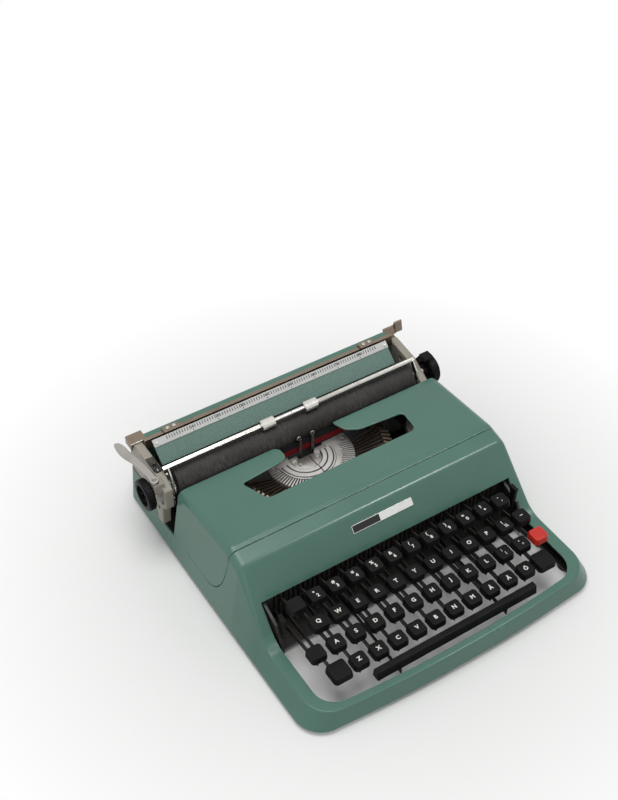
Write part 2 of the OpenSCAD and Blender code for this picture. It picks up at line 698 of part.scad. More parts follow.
selector_y = platen_y + 10;
selector_z = platen_h + 8;
selector_slot = [5, 18];
end_left_x = (left_in + left_out) / 2;
lug_low = platen_h + 6;
lever_low = platen_h + 17;
lever_x = left_out - 4;
lever_y = platen_y - 6;
arm_t = 2;
lever_pin_r = 1.8;
lug_half = 5;
module carriage_end_left() color([0.68, 0.67, 0.64]) {
    difference() {
        union() {
            along_x(end_outline(end_top, end_top, [platen_y + 1, end_top - 1], platen_h + 9),
                left_out, left_in);
            along_x([[lever_y - lug_half, lug_low], [lever_y + lug_half, lug_low],
                [lever_y + lug_half + 2, lever_low - 2], [lever_y + lug_half, lever_low - move_gap],
                [lever_y - lug_half, lever_low - move_gap]], lever_x - 2.7, left_out + 3);
        }
        end_bores();
        translate([end_left_x - selector_slot[0] / 2, selector_y - selector_slot[1] / 2, selector_z - 4])
            cube([selector_slot[0], selector_slot[1], far]);
        rod_x(selector_pin_r + run_fit, left_out - 1, left_in + 1, selector_y, selector_z);
    }
    translate([lever_x, lever_y, lever_low - move_gap - eps])
        cylinder(r = lever_pin_r, h = arm_t + 2 + move_gap + eps);
}

selector_pin_r = 1.5;
module line_space_selector() color([0.12, 0.12, 0.12]) {
    along_x([[selector_y - 2.5, selector_z - 2.5], [selector_y + 2.5, selector_z - 2.5],
        [selector_y + 2, selector_z + 11.5], [selector_y - 2, selector_z + 11.5]],
        end_left_x - 1.8, end_left_x + 1.8);
    rod_x(selector_pin_r, left_out + 1, left_in - 1, selector_y, selector_z);
}

release_pivot_y = platen_y + 20;
release_pivot_z = platen_h + 6;
release_pin_r = 2;
module carriage_end_right() color([0.68, 0.67, 0.64]) difference() {
    along_x(end_outline(platen_h + 9, right_top, [platen_y + 8, right_top - 4], platen_h),
        right_in, right_out);
    end_bores();
    rod_x(release_pin_r + run_fit, -far, far, release_pivot_y, release_pivot_z);
    rod_x(release_pin_r + run_fit, -far, far, platen_y + 6, platen_h - 12);
}

module carriage_bed() color([0.3, 0.3, 0.3])
    translate([left_out, bed_front_y, bed_low])
        cube([right_out - left_out, bed_rear_y - bed_front_y, bed_high - bed_low]);

// Painted cover along the rear of the carriage, with a lip turned forward
rear_cover_y = bed_rear_y - 3;
rear_cover_top = platen_h + 20;
module carriage_rear_cover() color([0.37, 0.52, 0.47]) along_x([[rear_cover_y, bed_high],
    [rear_cover_y + 2, bed_high], [rear_cover_y + 2, rear_cover_top], [rear_cover_y - 4, rear_cover_top],
    [rear_cover_y - 4, rear_cover_top - 2], [rear_cover_y, rear_cover_top - 2]], left_in, right_in);

// Paper table: a sloping plate on two legs
table_foot_y = platen_y + 11;
table_foot_z = platen_h + 13.5;
table_l = 23.6;
table_t = 1.5;
table_left = left_in + 4;
table_right = right_in - 13;
module paper_table() color([0.32, 0.46, 0.41]) {
    dir = [cos(table_slope), sin(table_slope)];
    out = [sin(table_slope), -cos(table_slope)];
    foot = [table_foot_y, table_foot_z];
    along_x([foot, foot + table_l * dir, foot + table_l * dir + table_t * out, foot + table_t * out],
        table_left, table_right);
    for (x = [table_left + 4, table_right - 10])
        along_x([[table_foot_y + 9, bed_high], [table_foot_y + 11, bed_high],
            foot + 8 * dir + table_t / 2 * out, foot + 5 * dir + table_t / 2 * out], x, x + 6);
}

scale_t = 0.8;
module scale_strip() color([0.85, 0.85, 0.83]) translate([table_left, table_foot_y, table_foot_z])
    rotate([table_slope, 0, 0]) translate([0, table_l - scale_w, 0])
        cube([table_right - table_left, scale_w, scale_t]);

// Margin rail with its two sliding stops
margin_y = rear_cover_y - 12;
margin_z = platen_h + 14;
margin_s = 4;
margin_h = 11;
stop_w = 16;
stop_gap = 0.2;
module margin_rail() color([0.75, 0.72, 0.66])
    translate([left_in, margin_y, margin_z]) cube([right_in - left_in, margin_s, margin_h]);
module margin_stop(x) color([0.75, 0.72, 0.66]) difference() {
    translate([x - stop_w / 2, margin_y - 1.8, margin_z - 2]) cube([stop_w, margin_s + 3.6, margin_h + 4]);
    translate([x - stop_w, margin_y - stop_gap, margin_z - stop_gap])
        cube([2 * stop_w, margin_s + 2 * stop_gap, margin_h + 2 * stop_gap]);
}
module margin_stop_left() margin_stop(left_in + 27);
module margin_stop_right() margin_stop(right_in - 29);

// Platen with its shaft, ratchet and knobs
knob_t = 8.5;
knob_left_t = 7.5;
knob_left_x = platen_left - knob_reach;
knob_right_x = platen_right + knob_reach;
ratchet_r = 10;
ratchet_t = 2;
ratchet_teeth = 24;
module platen_roller() color([0.22, 0.22, 0.23]) difference() {
    rod_x(platen_r, platen_left, platen_right, platen_y, platen_h);
    rod_x(platen_shaft_r, -far, far, platen_y, platen_h);
}
module platen_shaft() color("silver") {
    rod_x(platen_shaft_r, knob_left_x + 4, knob_right_x - 4, platen_y, platen_h);
    along_x([for (i = [0:2 * ratchet_teeth - 1]) [platen_y, platen_h]
        + (i % 2 == 0 ? ratchet_r : ratchet_r - 1.5)
        * [cos(180 * i / ratchet_teeth), sin(180 * i / ratchet_teeth)]],
        platen_left - 3, platen_left - 3 + ratchet_t);
}
module knob(from, t, face, s) difference() {
    rod_x(knob_r, from, from + t, platen_y, platen_h);
    rod_x(platen_shaft_r, -far, far, platen_y, platen_h);
    rod_x(knob_r - 5, s < 0 ? face - 1 : face - 4, s < 0 ? face + 4 : face + 1, platen_y, platen_h);
}
module knob_left() color([0.12, 0.12, 0.13]) knob(knob_left_x, knob_left_t, knob_left_x, -1);
module knob_right() color([0.12, 0.12, 0.13]) knob(knob_right_x - knob_t, knob_t, knob_right_x, 1);

// Feed roller under the platen: rubber sleeves on a thin shaft
sleeve_l = 30;
sleeve_step = 62;
module feed_roller() color([0.2, 0.2, 0.2]) {
    rod_x(feed_shaft_r, left_in - 3, right_in + 3, platen_y, feed_z);
    for (k = [-1.5:1:1.5]) rod_x(feed_r, carriage_x + sleeve_step * k - sleeve_l / 2,
        carriage_x + sleeve_step * k + sleeve_l / 2, platen_y, feed_z);
}

// Paper bail: a bar on two bent arms, with two rollers
bail_arm_t = 1.5;
bail_arm_w = 2;
module bail_arm(x) along_x([[bail_pivot_y - bail_arm_w, bail_pivot_z - bail_arm_w],
    [bail_pivot_y + bail_arm_w, bail_pivot_z - bail_arm_w], [bail_pivot_y + 3.5, platen_h + 10],
    [bail_y + 1.5, bail_z - 2.5], [bail_y + 1.5, bail_z + 1.5], [bail_y - 2.5, bail_z + 1.5],
    [bail_pivot_y - 0.5, platen_h + 14], [bail_pivot_y - bail_arm_w, bail_pivot_z + 4]], x, x + bail_arm_t);
module paper_bail() color([0.85, 0.84, 0.82]) {
    bail_arm(left_in + 2.2);
    bail_arm(right_in - 2.2 - bail_arm_t);
    rod_x(bail_r, left_in + 2.2, right_in - 2.2, bail_y, bail_z);
    rod_x(bail_pin_r, left_in - 4, left_in + 2.2 + bail_arm_t, bail_pivot_y, bail_pivot_z);
    rod_x(bail_pin_r, right_in - 2.2 - bail_arm_t, right_in + 4, bail_pivot_y, bail_pivot_z);
}
bail_roller_places = [-29, 16];
module bail_rollers() color([0.85, 0.85, 0.84]) for (x = bail_roller_places) difference() {
    rod_x(bail_roller_r, carriage_x + x - bail_roller_l / 2, carriage_x + x + bail_roller_l / 2,
        bail_y, bail_z);
    rod_x(bail_r + run_fit, -far, far, bail_y, bail_z);
}

// Plate over the rear of the left end, with its outer edge folded down
end_plate_w = 15.5;
end_plate_d = 12;
end_plate_t = 2;
end_plate_z = end_top + 0.05;
end_plate_fold = 6;
module end_plate_left() color([0.6, 0.53, 0.45])
    translate([left_out - 2.5, bed_rear_y - end_plate_d + 2.5, end_plate_z]) {
        cube([end_plate_w, end_plate_d, end_plate_t]);
        translate([0, 0, -end_plate_fold]) cube([1.5, end_plate_d, end_plate_fold + eps]);
    }

// Line-space lever: a flat arm that lies along the left end and swings out on its pin
lever_plan = [[-3.6, -1], [-3.2, 9.5], [-4.4, 20], [-6.4, 29.5], [-9.4, 37.5], [-10.8, 43.5],
    [-11.1, 50.5], [-10.4, 56.5], [-9, 58.6], [-5.8, 57.8], [-3.6, 54.2], [-2.6, 49], [-2, 43], [0.4, 31],
    [2, 20], [2.8, 12], [3.6, -1]];
lever_boss_r = 4;
lever_boss_h = 3.5;
module return_lever() color([0.8, 0.78, 0.74]) translate([lever_x, lever_y, lever_low]) difference() {
    union() {
        linear_extrude(arm_t) polygon(lever_plan);
        cylinder(r = lever_boss_r, h = lever_boss_h);
    }
    translate([0, 0, -1]) cylinder(r = lever_pin_r + run_fit, h = lever_boss_h + 2);
}

// Levers on the right end of the carriage
release_t = 2;
release_foot = [bed_rear_y - 3, right_top - 5];
release_edge = [bed_rear_y + 1, right_top + 3];
release_skin = [1.5, -0.6];
module paper_release_lever() color([0.75, 0.7, 0.63]) {
    x = right_out + move_gap;
    along_x([[release_pivot_y - 4, release_pivot_z - 4], [release_pivot_y + 4, release_pivot_z - 4],
        release_foot + release_skin, release_foot + [0.5, 1], [release_pivot_y - 4, release_pivot_z + 4]],
        x, x + release_t);
    rod_x(release_pin_r, right_in + 1, x + release_t, release_pivot_y, release_pivot_z);
    along_x([release_foot, release_foot + release_skin, release_edge + release_skin, release_edge],
        right_in + 0.6, x + 5);
    along_x([release_foot + [0, 1], release_foot + release_skin + [0, 1],
        release_edge + release_skin + [0, 1], release_edge + [0, 4], release_edge + [-1.5, 4]],
        x + 5 - eps, x + 13);
}
module carriage_release_lever() color([0.1, 0.1, 0.1]) {
    x = right_out + move_gap;
    along_x([[platen_y + 2, platen_h - 16], [platen_y + 10, platen_h - 16], [platen_y + 13, platen_h + 4],
        [platen_y + 3, platen_h + 19], [platen_y - 5, platen_h + 19], [platen_y + 8, platen_h + 4],
        [platen_y + 6, platen_h - 6]], x, x + release_t);
    rod_x(release_pin_r, right_in + 1, x + release_t, platen_y + 6, platen_h - 12);
    translate([x, platen_y - 6, platen_h + 17]) cube([10, 9, 4]);
}

// The origin is in the middle of the overall width, from the left knob to the wider of case and right knob
centre_shift = -(knob_left_x + max(case_w / 2, knob_right_x)) / 2;
translate([centre_shift, 0, 0]) {
    body_shell();
    bottom_pan();
    name_plate();
    rubber_feet();
    chassis_frame();
    key_comb();
    key_pivot_shaft();
    carriage_rail();
    ribbon_deck();
    ribbon();
    bell();
    ribbon_cover();
    segment();
    typebars();
    type_rest();
    striking_key();
    striking_typebar();
    ribbon_vibrator();
    key_levers_row_1();
    key_levers_row_2();
    key_levers_row_3();
    key_levers_row_4();
    keytops_row_1();
    keytops_row_2();
    keytops_row_3();
    keytops_row_4();
    space_bar();
    shift_keys();
    shift_lock_key();
    backspace_key();
    tab_key();
    tab_lever();
    margin_release_key();
    tab_set_lever();
    ribbon_selector();
    ribbon_spool_left();
    ribbon_spool_right();
    carriage_end_left();
    carriage_end_right();
    carriage_bed();
    carriage_rear_cover();
    paper_table();
    scale_strip();
    margin_rail();
    margin_stop_left();
    margin_stop_right();
    platen_roller();
    platen_shaft();
    knob_left();
    knob_right();
    feed_roller();
    paper_bail();
    bail_rollers();
    end_plate_left();
    return_lever();
    paper_release_lever();
    carriage_release_lever();
    line_space_selector();
    mainspring_drum();
    escapement_wheel();
}
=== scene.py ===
"""Dresses a flat portable typewriter: painted case, keyboard, type basket, carriage and a plain stage."""

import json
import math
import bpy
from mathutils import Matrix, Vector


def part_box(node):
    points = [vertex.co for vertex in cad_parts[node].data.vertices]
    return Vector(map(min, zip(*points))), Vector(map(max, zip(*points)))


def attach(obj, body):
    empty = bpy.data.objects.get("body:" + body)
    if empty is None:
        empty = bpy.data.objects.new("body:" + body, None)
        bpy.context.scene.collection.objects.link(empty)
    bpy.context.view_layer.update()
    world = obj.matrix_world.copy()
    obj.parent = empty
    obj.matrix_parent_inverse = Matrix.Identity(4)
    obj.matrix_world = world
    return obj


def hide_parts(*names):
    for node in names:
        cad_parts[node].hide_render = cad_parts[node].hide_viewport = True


bl_info = {
    "name": "Portable Typewriter",
    "version": (1, 0, 0),
    "blender": (4, 5, 0),
    "location": "3D View > Sidebar > Typewriter",
    "description": "Builds the visible pieces of a flat portable typewriter on its CAD frame",
    "category": "Object",
}

import bmesh
import bpy
from bpy.props import FloatProperty, FloatVectorProperty, IntProperty, PointerProperty
from mathutils import Matrix, Vector

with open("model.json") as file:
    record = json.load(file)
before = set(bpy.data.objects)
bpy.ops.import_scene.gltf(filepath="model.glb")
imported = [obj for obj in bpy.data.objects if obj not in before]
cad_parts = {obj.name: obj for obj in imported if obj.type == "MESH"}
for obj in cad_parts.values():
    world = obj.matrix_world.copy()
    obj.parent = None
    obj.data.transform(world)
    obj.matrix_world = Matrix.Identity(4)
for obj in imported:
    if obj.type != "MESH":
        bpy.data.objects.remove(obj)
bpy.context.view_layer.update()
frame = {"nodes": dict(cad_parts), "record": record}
RECORD = frame["record"]
BODY_OF = {node: body for body, nodes in RECORD["behaviour"]["bodies"].items() for node in nodes}
SLOT_OF = {part["node"]: part["material_slot"] for part in RECORD["subparts"]}
MM = 0.001
MERGE = 0.004 * MM
FULL_TURN = 2 * math.pi


def colour_property(name, description, default):
    """A colour that the sidebar shows as a swatch."""
    shown = {"subtype": "COLOR", "min": 0, "max": 1}
    return FloatVectorProperty(name=name, description=description, default=default, **shown)


def length_property(name, description, default, low, high):
    """A length in metres."""
    shown = {"precision": 5, "unit": "LENGTH"}
    return FloatProperty(name=name, description=description, default=default, min=low, max=high, **shown)


class TypewriterColours(bpy.types.PropertyGroup):
    """Colours of the paints, plastics and cloth."""

    case: colour_property("Case", "Satin paint of the case and cover", (0.083, 0.187, 0.146))
    table: colour_property("Paper table", "Hammered paint of the paper table", (0.098, 0.193, 0.158))
    casting: colour_property("Castings", "Paint of the carriage ends", (0.32, 0.295, 0.245))
    keys: colour_property("Keys", "Moulded plastic of the key tops", (0.006, 0.006, 0.006))
    tab_key: colour_property("Tabulator key", "Moulded plastic of the coloured key", (0.60, 0.028, 0.018))
    legends: colour_property("Legends", "Lettering on the key tops", (0.80, 0.79, 0.74))
    platen: colour_property("Platen", "Rubber of the platen", (0.022, 0.020, 0.019))
    scale: colour_property("Scale", "Enamel of the paper scale", (0.60, 0.605, 0.585))
    ribbon_upper: colour_property("Ribbon, upper half", "Ink of the upper half", (0.010, 0.010, 0.011))
    ribbon_lower: colour_property("Ribbon, lower half", "Ink of the lower half", (0.20, 0.006, 0.009))
    floor: colour_property("Floor", "Pale floor of the stage", (0.90, 0.90, 0.89))


class TypewriterSizes(bpy.types.PropertyGroup):
    """Sizes of the small forms that the frame leaves plain."""

    case_rounding: length_property("Case edges", "Rounding of the pressed edges", 0.0007, 0.0002, 0.0012)
    casting_rounding: length_property("Casting edges", "Rounding of the carriage ends", 0.0011, 0.0003, 0.002)
    metal_rounding: length_property("Metal edges", "Rounding of small metal pieces", 0.0003, 0.0001, 0.0006)
    cap_corner: length_property("Key corner", "Corner radius of a key top", 0.0034, 0.002, 0.006)
    letter_height: length_property("Letters", "Height of a letter on a key", 0.0038, 0.002, 0.007)
    sign_height: length_property("Signs", "Height of a sign on a two-sign key", 0.0033, 0.002, 0.005)
    legend_rise: length_property("Legend thickness", "Thickness of the lettering", 0.00006, 0.00002, 0.0002)
    scale_pitch: length_property("Scale pitch", "Distance between two of its marks", 0.00254, 0.002, 0.003)
    knurl_count: IntProperty(name="Knob ridges", description="Ridges of a knob", default=28, min=12, max=90)


def colours():
    """The colours set in the sidebar."""
    return bpy.context.scene.typewriter_colours


def sizes():
    """The sizes set in the sidebar."""
    return bpy.context.scene.typewriter_sizes


# Shader groups


def feed(tree, node, links):
    """Links a node's sockets to outputs, or sets them to values."""
    for socket, source in links.items():
        if isinstance(source, bpy.types.NodeSocket):
            tree.links.new(source, node.inputs[socket])
        else:
            node.inputs[socket].default_value = source


def add(tree, kind, links=None, **settings):
    """A node with its settings and its sockets fed."""
    node = tree.nodes.new(kind)
    for key, value in settings.items():
        setattr(node, key, value)
    feed(tree, node, links or {})
    return node


def ranged(tree, value, low, high, to_low=0.0, to_high=1.0):
    """A value carried from one range to another, and held inside it."""
    links = {"Value": value, "From Min": low, "From Max": high, "To Min": to_low, "To Max": to_high}
    return add(tree, "ShaderNodeMapRange", links).outputs["Result"]


def blended(tree, factor, first, second):
    """One colour going over to another."""
    return add(tree, "ShaderNodeMix", {0: factor, 6: first, 7: second}, data_type="RGBA").outputs[2]


def maths(tree, operation, first, second):
    """Two values worked into one."""
    return add(tree, "ShaderNodeMath", {0: first, 1: second}, operation=operation).outputs[0]


def times(tree, first, second):
    """Two values multiplied."""
    return maths(tree, "MULTIPLY", first, second)


def noise(tree, place, scale, detail, rough=0.5):
    """Soft noise."""
    links = {"Vector": place, "Scale": scale, "Detail": detail, "Roughness": rough}
    return add(tree, "ShaderNodeTexNoise", links).outputs["Fac"]


def patches(group, given):
    """Broad patches, as on a handled surface."""
    return ranged(group, noise(group, given["Position"], given["Scale"], 5.0, 0.6), 0.34, 0.68)


def rubbed_edges(group, given):
    """The rounded edges of a piece, broken up by noise: edge wear, and on the case paint also a painted
    highlight along the edges.
    """
    edge = add(group, "ShaderNodeAttribute", attribute_name="wear").outputs["Fac"]
    broken = ranged(group, noise(group, given["Position"], given["Scale"], 6.0, 0.7), 0.40, 0.62)
    return times(group, times(group, edge, broken), given["Amount"])


def fine_grain(group, given):
    """A fine uneven height, as in sprayed paint or moulded plastic."""
    return noise(group, given["Position"], given["Scale"], 3.0, 0.55)


# Each shader group: its maker, its output and its inputs beside the position
GROUPS = {
    "Patina": (patches, "Patches", ("Scale",)),
    "Worn edges": (rubbed_edges, "Mask", ("Scale", "Amount")),
    "Fine grain": (fine_grain, "Height", ("Scale",)),
}


def shared_group(name):
    """A shader group, made on its first use."""
    if name in bpy.data.node_groups:
        return bpy.data.node_groups[name]
    maker, output, inputs = GROUPS[name]
    group = bpy.data.node_groups.new(name, "ShaderNodeTree")
    group.interface.new_socket("Position", in_out="INPUT", socket_type="NodeSocketVector")
    for label in inputs:
        group.interface.new_socket(label, in_out="INPUT", socket_type="NodeSocketFloat")
    group.interface.new_socket(output, in_out="OUTPUT", socket_type="NodeSocketFloat")
    given = group.nodes.new("NodeGroupInput").outputs
    result = group.nodes.new("NodeGroupOutput").inputs
    group.links.new(maker(group, given), result[output])
    return group


def grouped(tree, name, place, scale, **more):
    """The output of a shader group placed in a material."""
    links = {"Position": place, "Scale": scale, **more}
    return add(tree, "ShaderNodeGroup", links, node_tree=shared_group(name)).outputs[0]


# Finishes


def start_finish(name):
    """A new material: its tree, its shader and its object coordinates."""
    material = bpy.data.materials.new(name)
    material.use_nodes = True
    tree = material.node_tree
    place = add(tree, "ShaderNodeTexCoord").outputs["Object"]
    return material, tree, tree.nodes["Principled BSDF"], place


def shade(colour, factor):
    """A colour made lighter or darker, with full alpha."""
    return (*[min(1.0, channel * factor) for channel in colour[:3]], 1.0)


def bumped(tree, shader, height, strength, distance):
    """A height given to the shader's normal."""
    links = {"Height": height, "Strength": strength, "Distance": distance}
    tree.links.new(add(tree, "ShaderNodeBump", links).outputs["Normal"], shader.inputs["Normal"])


EDGE_WEAR_AND_HIGHLIGHT_SCALE = 70.0
TARNISH_SCALE = 45.0
BRUSH_SCALE = 1400.0
EVEN = (1.0, 1.0, 1.0)
DULL = (0.30, 0.27, 0.23)
BLACK = (0.0, 0.0, 0.0)
# Paints and plastics: colour or the name of a sidebar colour, roughness, scale and depth of the grain, wear
# and its colour (on the case paint partly a painted edge highlight), spread of the tone, scale of the patches
# and, where it isn't the usual one, gloss
COATS = {
    # Case paint: its lighter teal rounded edges are partly wear and partly a painted highlight.
    "case_paint": ("case", 0.25, 700.0, 0.08, 0.35, (0.30, 0.42, 0.37), 0.05, 9.0),
    "dark_steel": ((0.022, 0.020, 0.018), 0.42, 800.0, 0.2, 0.5, (0.16, 0.15, 0.13), 0.3, 40.0),
    "grey_casting": ("casting", 0.42, 600.0, 0.25, 0.35, (0.22, 0.21, 0.19), 0.10, 30.0),
    "black_plastic": ("keys", 0.42, 1300.0, 0.14, 0.25, (0.035, 0.035, 0.035), 0.3, 60.0, 0.1),
    "red_plastic": ("tab_key", 0.32, 1300.0, 0.12, 0.2, (0.75, 0.14, 0.10), 0.08, 60.0),
    "foot_rubber": ((0.016, 0.016, 0.016), 0.75, 1500.0, 0.5, 0.0, BLACK, 0.3, 80.0),
    "pale_metal": ("scale", 0.36, 900.0, 0.1, 0.4, (0.30, 0.29, 0.26), 0.06, 35.0),
    "plate_metal": ((0.012, 0.012, 0.012), 0.30, 1200.0, 0.1, 0.5, (0.5, 0.5, 0.48), 0.3, 60.0),
    "legend_paint": ("legends", 0.5, 1500.0, 0.1, 0.0, BLACK, 0.08, 120.0),
    "scale_ink": ((0.015, 0.015, 0.015), 0.6, 1500.0, 0.1, 0.0, BLACK, 0.4, 120.0),
    "red_mark": ((0.55, 0.03, 0.02), 0.5, 1500.0, 0.1, 0.0, BLACK, 0.1, 120.0),
}
# Metals: colour, roughness, stretch of the brushed lines, tarnish and its colour, and how metallic
METALS = {
    "bright_steel": ((0.60, 0.59, 0.565), 0.36, (0.1, 1.0, 1.0), 0.3, DULL, 0.6),
    "chrome": ((0.60, 0.585, 0.55), 0.18, EVEN, 0.35, DULL),
    # Its brown base colour is a painted reflection of warm beige surroundings in bright metal; the dull
    # patches over it are tarnish.
    "tarnished_steel": ((0.22, 0.175, 0.135), 0.34, EVEN, 0.5, (0.12, 0.085, 0.06), 0.8),
    "nickel": ((0.36, 0.345, 0.32), 0.34, EVEN, 0.3, (0.22, 0.20, 0.17), 0.8),
    "plate_bright": ((0.68, 0.68, 0.66), 0.28, (0.05, 1.0, 1.0), 0.2, DULL),
    "wheel_brass": ((0.62, 0.45, 0.20), 0.28, EVEN, 0.4, (0.25, 0.17, 0.08)),
}


def coated(name, colour, rough, grain, depth, worn, bare, spread, patch, gloss=0.35):
    """Paint or plastic: one colour with soft patches, fine grain and rubbed edges; on the case paint the
    lighter edges are partly a painted highlight.
    """
    material, tree, shader, place = start_finish(name)
    patina = grouped(tree, "Patina", place, patch)
    tone = blended(tree, patina, shade(colour, 1 - spread), shade(colour, 1 + spread))
    # Lighter colour on the rounded edges: wear, and on the case paint partly a painted highlight.
    if worn:
        rubbed = grouped(tree, "Worn edges", place, EDGE_WEAR_AND_HIGHLIGHT_SCALE, Amount=worn)
        tone = blended(tree, rubbed, tone, (*bare, 1.0))
    uneven = ranged(tree, patina, 0.0, 1.0, rough - 0.05, rough + 0.06)
    feed(tree, shader, {"Base Color": tone, "Roughness": uneven, "Specular IOR Level": gloss})
    bumped(tree, shader, grouped(tree, "Fine grain", place, grain), depth, 0.0002)
    return material


def metal(name, colour, rough, stretch, tarnish, dull, metallic=1.0):
    """Bare or plated metal with fine brushed lines and dull patches."""
    material, tree, shader, place = start_finish(name)
    tarnished = ranged(tree, grouped(tree, "Patina", place, TARNISH_SCALE), 0.45, 1.0, 0.0, tarnish)
    tone = blended(tree, tarnished, shade(colour, 1.0), (*dull, 1.0))
    lines = add(tree, "ShaderNodeMapping", {"Vector": place, "Scale": stretch}).outputs["Vector"]
    height = grouped(tree, "Fine grain", lines, BRUSH_SCALE)
    uneven = ranged(tree, height, 0.3, 0.7, max(0.05, rough - 0.07), rough + 0.1)
    feed(tree, shader, {"Base Color": tone, "Roughness": uneven, "Metallic": metallic})
    bumped(tree, shader, height, 0.12, 0.0001)
    return material


def hammered(name, colour):
    """Wrinkled paint with a glossy raised grain."""
    material, tree, shader, place = start_finish(name)
    cells = add(tree, "ShaderNodeTexVoronoi", {"Vector": place, "Scale": 1150.0}, feature="SMOOTH_F1")
    dimple = ranged(tree, cells.outputs["Distance"], 0.05, 0.65)
    tone = blended(tree, dimple, shade(colour, 1.22), shade(colour, 0.78))
    uneven = ranged(tree, grouped(tree, "Patina", place, 20.0), 0.0, 1.0, 0.36, 0.5)
    feed(tree, shader, {"Base Color": tone, "Roughness": uneven})
    bumped(tree, shader, dimple, 0.4, -0.0002)
    return material


def platen_finish(name, colour):
    """Hard rubber with fine lines round the roller, rubbed pale in bands."""
    material, tree, shader, place = start_finish(name)
    axis_y, axis_z = axis_of("platen_roller")
    parts = add(tree, "ShaderNodeSeparateXYZ", {"Vector": place}).outputs
    side = maths(tree, "SUBTRACT", parts["Y"], axis_y)
    rise = maths(tree, "SUBTRACT", parts["Z"], axis_z)
    turn = maths(tree, "ARCTAN2", rise, side)
    fine = {"X": times(tree, parts["X"], 420.0), "Y": times(tree, turn, 2.5)}
    rolled = add(tree, "ShaderNodeCombineXYZ", fine)
    streak = noise(tree, rolled.outputs["Vector"], 1.0, 4.0, 0.7)
    along = add(tree, "ShaderNodeCombineXYZ", {"X": parts["X"], "Y": times(tree, turn, 0.004)})
    band = noise(tree, along.outputs["Vector"], 26.0, 2.0)
    pale = times(tree, ranged(tree, streak, 0.34, 0.70), ranged(tree, band, 0.40, 0.64, 0.35, 1.0))
    tone = blended(tree, pale, shade(colour, 0.5), shade(colour, 3.4))
    uneven = ranged(tree, pale, 0.0, 1.0, 0.55, 0.75)
    feed(tree, shader, {"Base Color": tone, "Roughness": uneven, "Specular IOR Level": 0.25})
    bumped(tree, shader, streak, 0.35, 0.0003)
    return material


def ribbon_finish(name, upper, lower):
    """Woven cotton in two inks, with the threads on the strip's own map."""
    material, tree, shader, _ = start_finish(name)
    place = add(tree, "ShaderNodeUVMap", uv_map="strip").outputs["UV"]
    parts = add(tree, "ShaderNodeSeparateXYZ", {"Vector": place}).outputs
    weave = add(tree, "ShaderNodeTexChecker", {"Vector": place, "Scale": 3300.0}).outputs["Fac"]
    soak = noise(tree, place, 300.0, 4.0)
    line = maths(tree, "ADD", parts["Y"], ranged(tree, soak, 0.2, 0.8, -0.0004, 0.0004))
    red = blended(tree, soak, shade(lower, 0.55), shade(lower, 1.4))
    black = blended(tree, soak, shade(upper, 0.6), shade(upper, 1.6))
    tone = blended(tree, ranged(tree, line, 0.0063, 0.0067), red, black)
    feed(tree, shader, {"Base Color": tone, "Roughness": 0.85, "Specular IOR Level": 0.2})
    bumped(tree, shader, weave, 0.4, 0.00012)
    return material


def finish(name):
    """The material of a finish, made on its first use; the frame's own plain ones keep their names."""
    slot = name + "_finish"
    if slot in bpy.data.materials:
        return bpy.data.materials[slot]
    tint = colours()
    if name in COATS:
        colour, *rest = COATS[name]
        return coated(slot, getattr(tint, colour) if isinstance(colour, str) else colour, *rest)
    if name in METALS:
        return metal(slot, *METALS[name])
    makers = {
        "table_paint": lambda: hammered(slot, tint.table),
        "platen_rubber": lambda: platen_finish(slot, tint.platen),
        "ribbon_cloth": lambda: ribbon_finish(slot, tint.ribbon_upper, tint.ribbon_lower),
    }
    return makers[name]()


# Mesh work


def as_mesh(bm, name):
    """A mesh with what was drawn, which is then freed."""
    mesh = bpy.data.meshes.new(name)
    bm.to_mesh(mesh)
    bm.free()
    return mesh


def as_object(name, data):
    """A new object in the scene."""
    obj = bpy.data.objects.new(name, data)
    bpy.context.scene.collection.objects.link(obj)
    return obj


def put_in(bm, mesh, matrix):
    """Adds a passing mesh in its place, and drops it."""
    mesh.transform(matrix)
    bm.from_mesh(mesh)
    bpy.data.meshes.remove(mesh)


def corners_of(points):
    """The lowest and the highest corner of some points."""
    return [Vector([pick(point[i] for point in points) for i in range(3)]) for pick in (min, max)]


def axis_of(node):
    """Where the axis of a node that turns about X lies, as (y, z)."""
    low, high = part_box(node)
    return (low.y + high.y) / 2, (low.z + high.z) / 2


def merged(node):
    """A copy of a CAD node with its doubled points merged."""
    bm = bmesh.new()
    bm.from_mesh(frame["nodes"][node].data)
    bmesh.ops.remove_doubles(bm, verts=bm.verts, dist=MERGE)
    return bm


def cad_copy(node):
    """A merged copy of a CAD node, with flat faces joined."""
    bm = merged(node)
    bmesh.ops.dissolve_limit(bm, angle_limit=math.radians(0.6), verts=bm.verts, edges=bm.edges)
    return bm


def soften(bm, width, segments=2, angle=34.0):
    """Rounds the sharp edges and marks the new faces for edge wear, which on the case paint is partly a
    painted highlight.
    """
    wear = bm.faces.layers.float.get("wear") or bm.faces.layers.float.new("wear")
    sharp = [e for e in bm.edges if len(e.link_faces) == 2 and e.calc_face_angle(0.0) > math.radians(angle)]
    made = bmesh.ops.bevel(
        bm, geom=sharp, offset=width, offset_type="OFFSET", segments=segments, profile=0.5, affect="EDGES",
        clamp_overlap=False, material=-1,
    )
    for face in made["faces"]:
        face[wear] = 1.0


def piece(name, bm, slot, body, *replaced, flat=42.0, weighted=True):
    """Makes the mesh an object with its finish, on its body, in place of its nodes."""
    for face in bm.faces:
        face.smooth = True
    for edge in bm.edges:
        edge.smooth = len(edge.link_faces) == 2 and edge.calc_face_angle(0.0) < math.radians(flat)
    obj = as_object(name, as_mesh(bm, name))
    obj.data.materials.append(finish(slot))
    if weighted:
        obj.modifiers.new("Weighted normals", "WEIGHTED_NORMAL").keep_sharp = True
    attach(obj, body)
    if replaced:
        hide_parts(*replaced)
    return obj


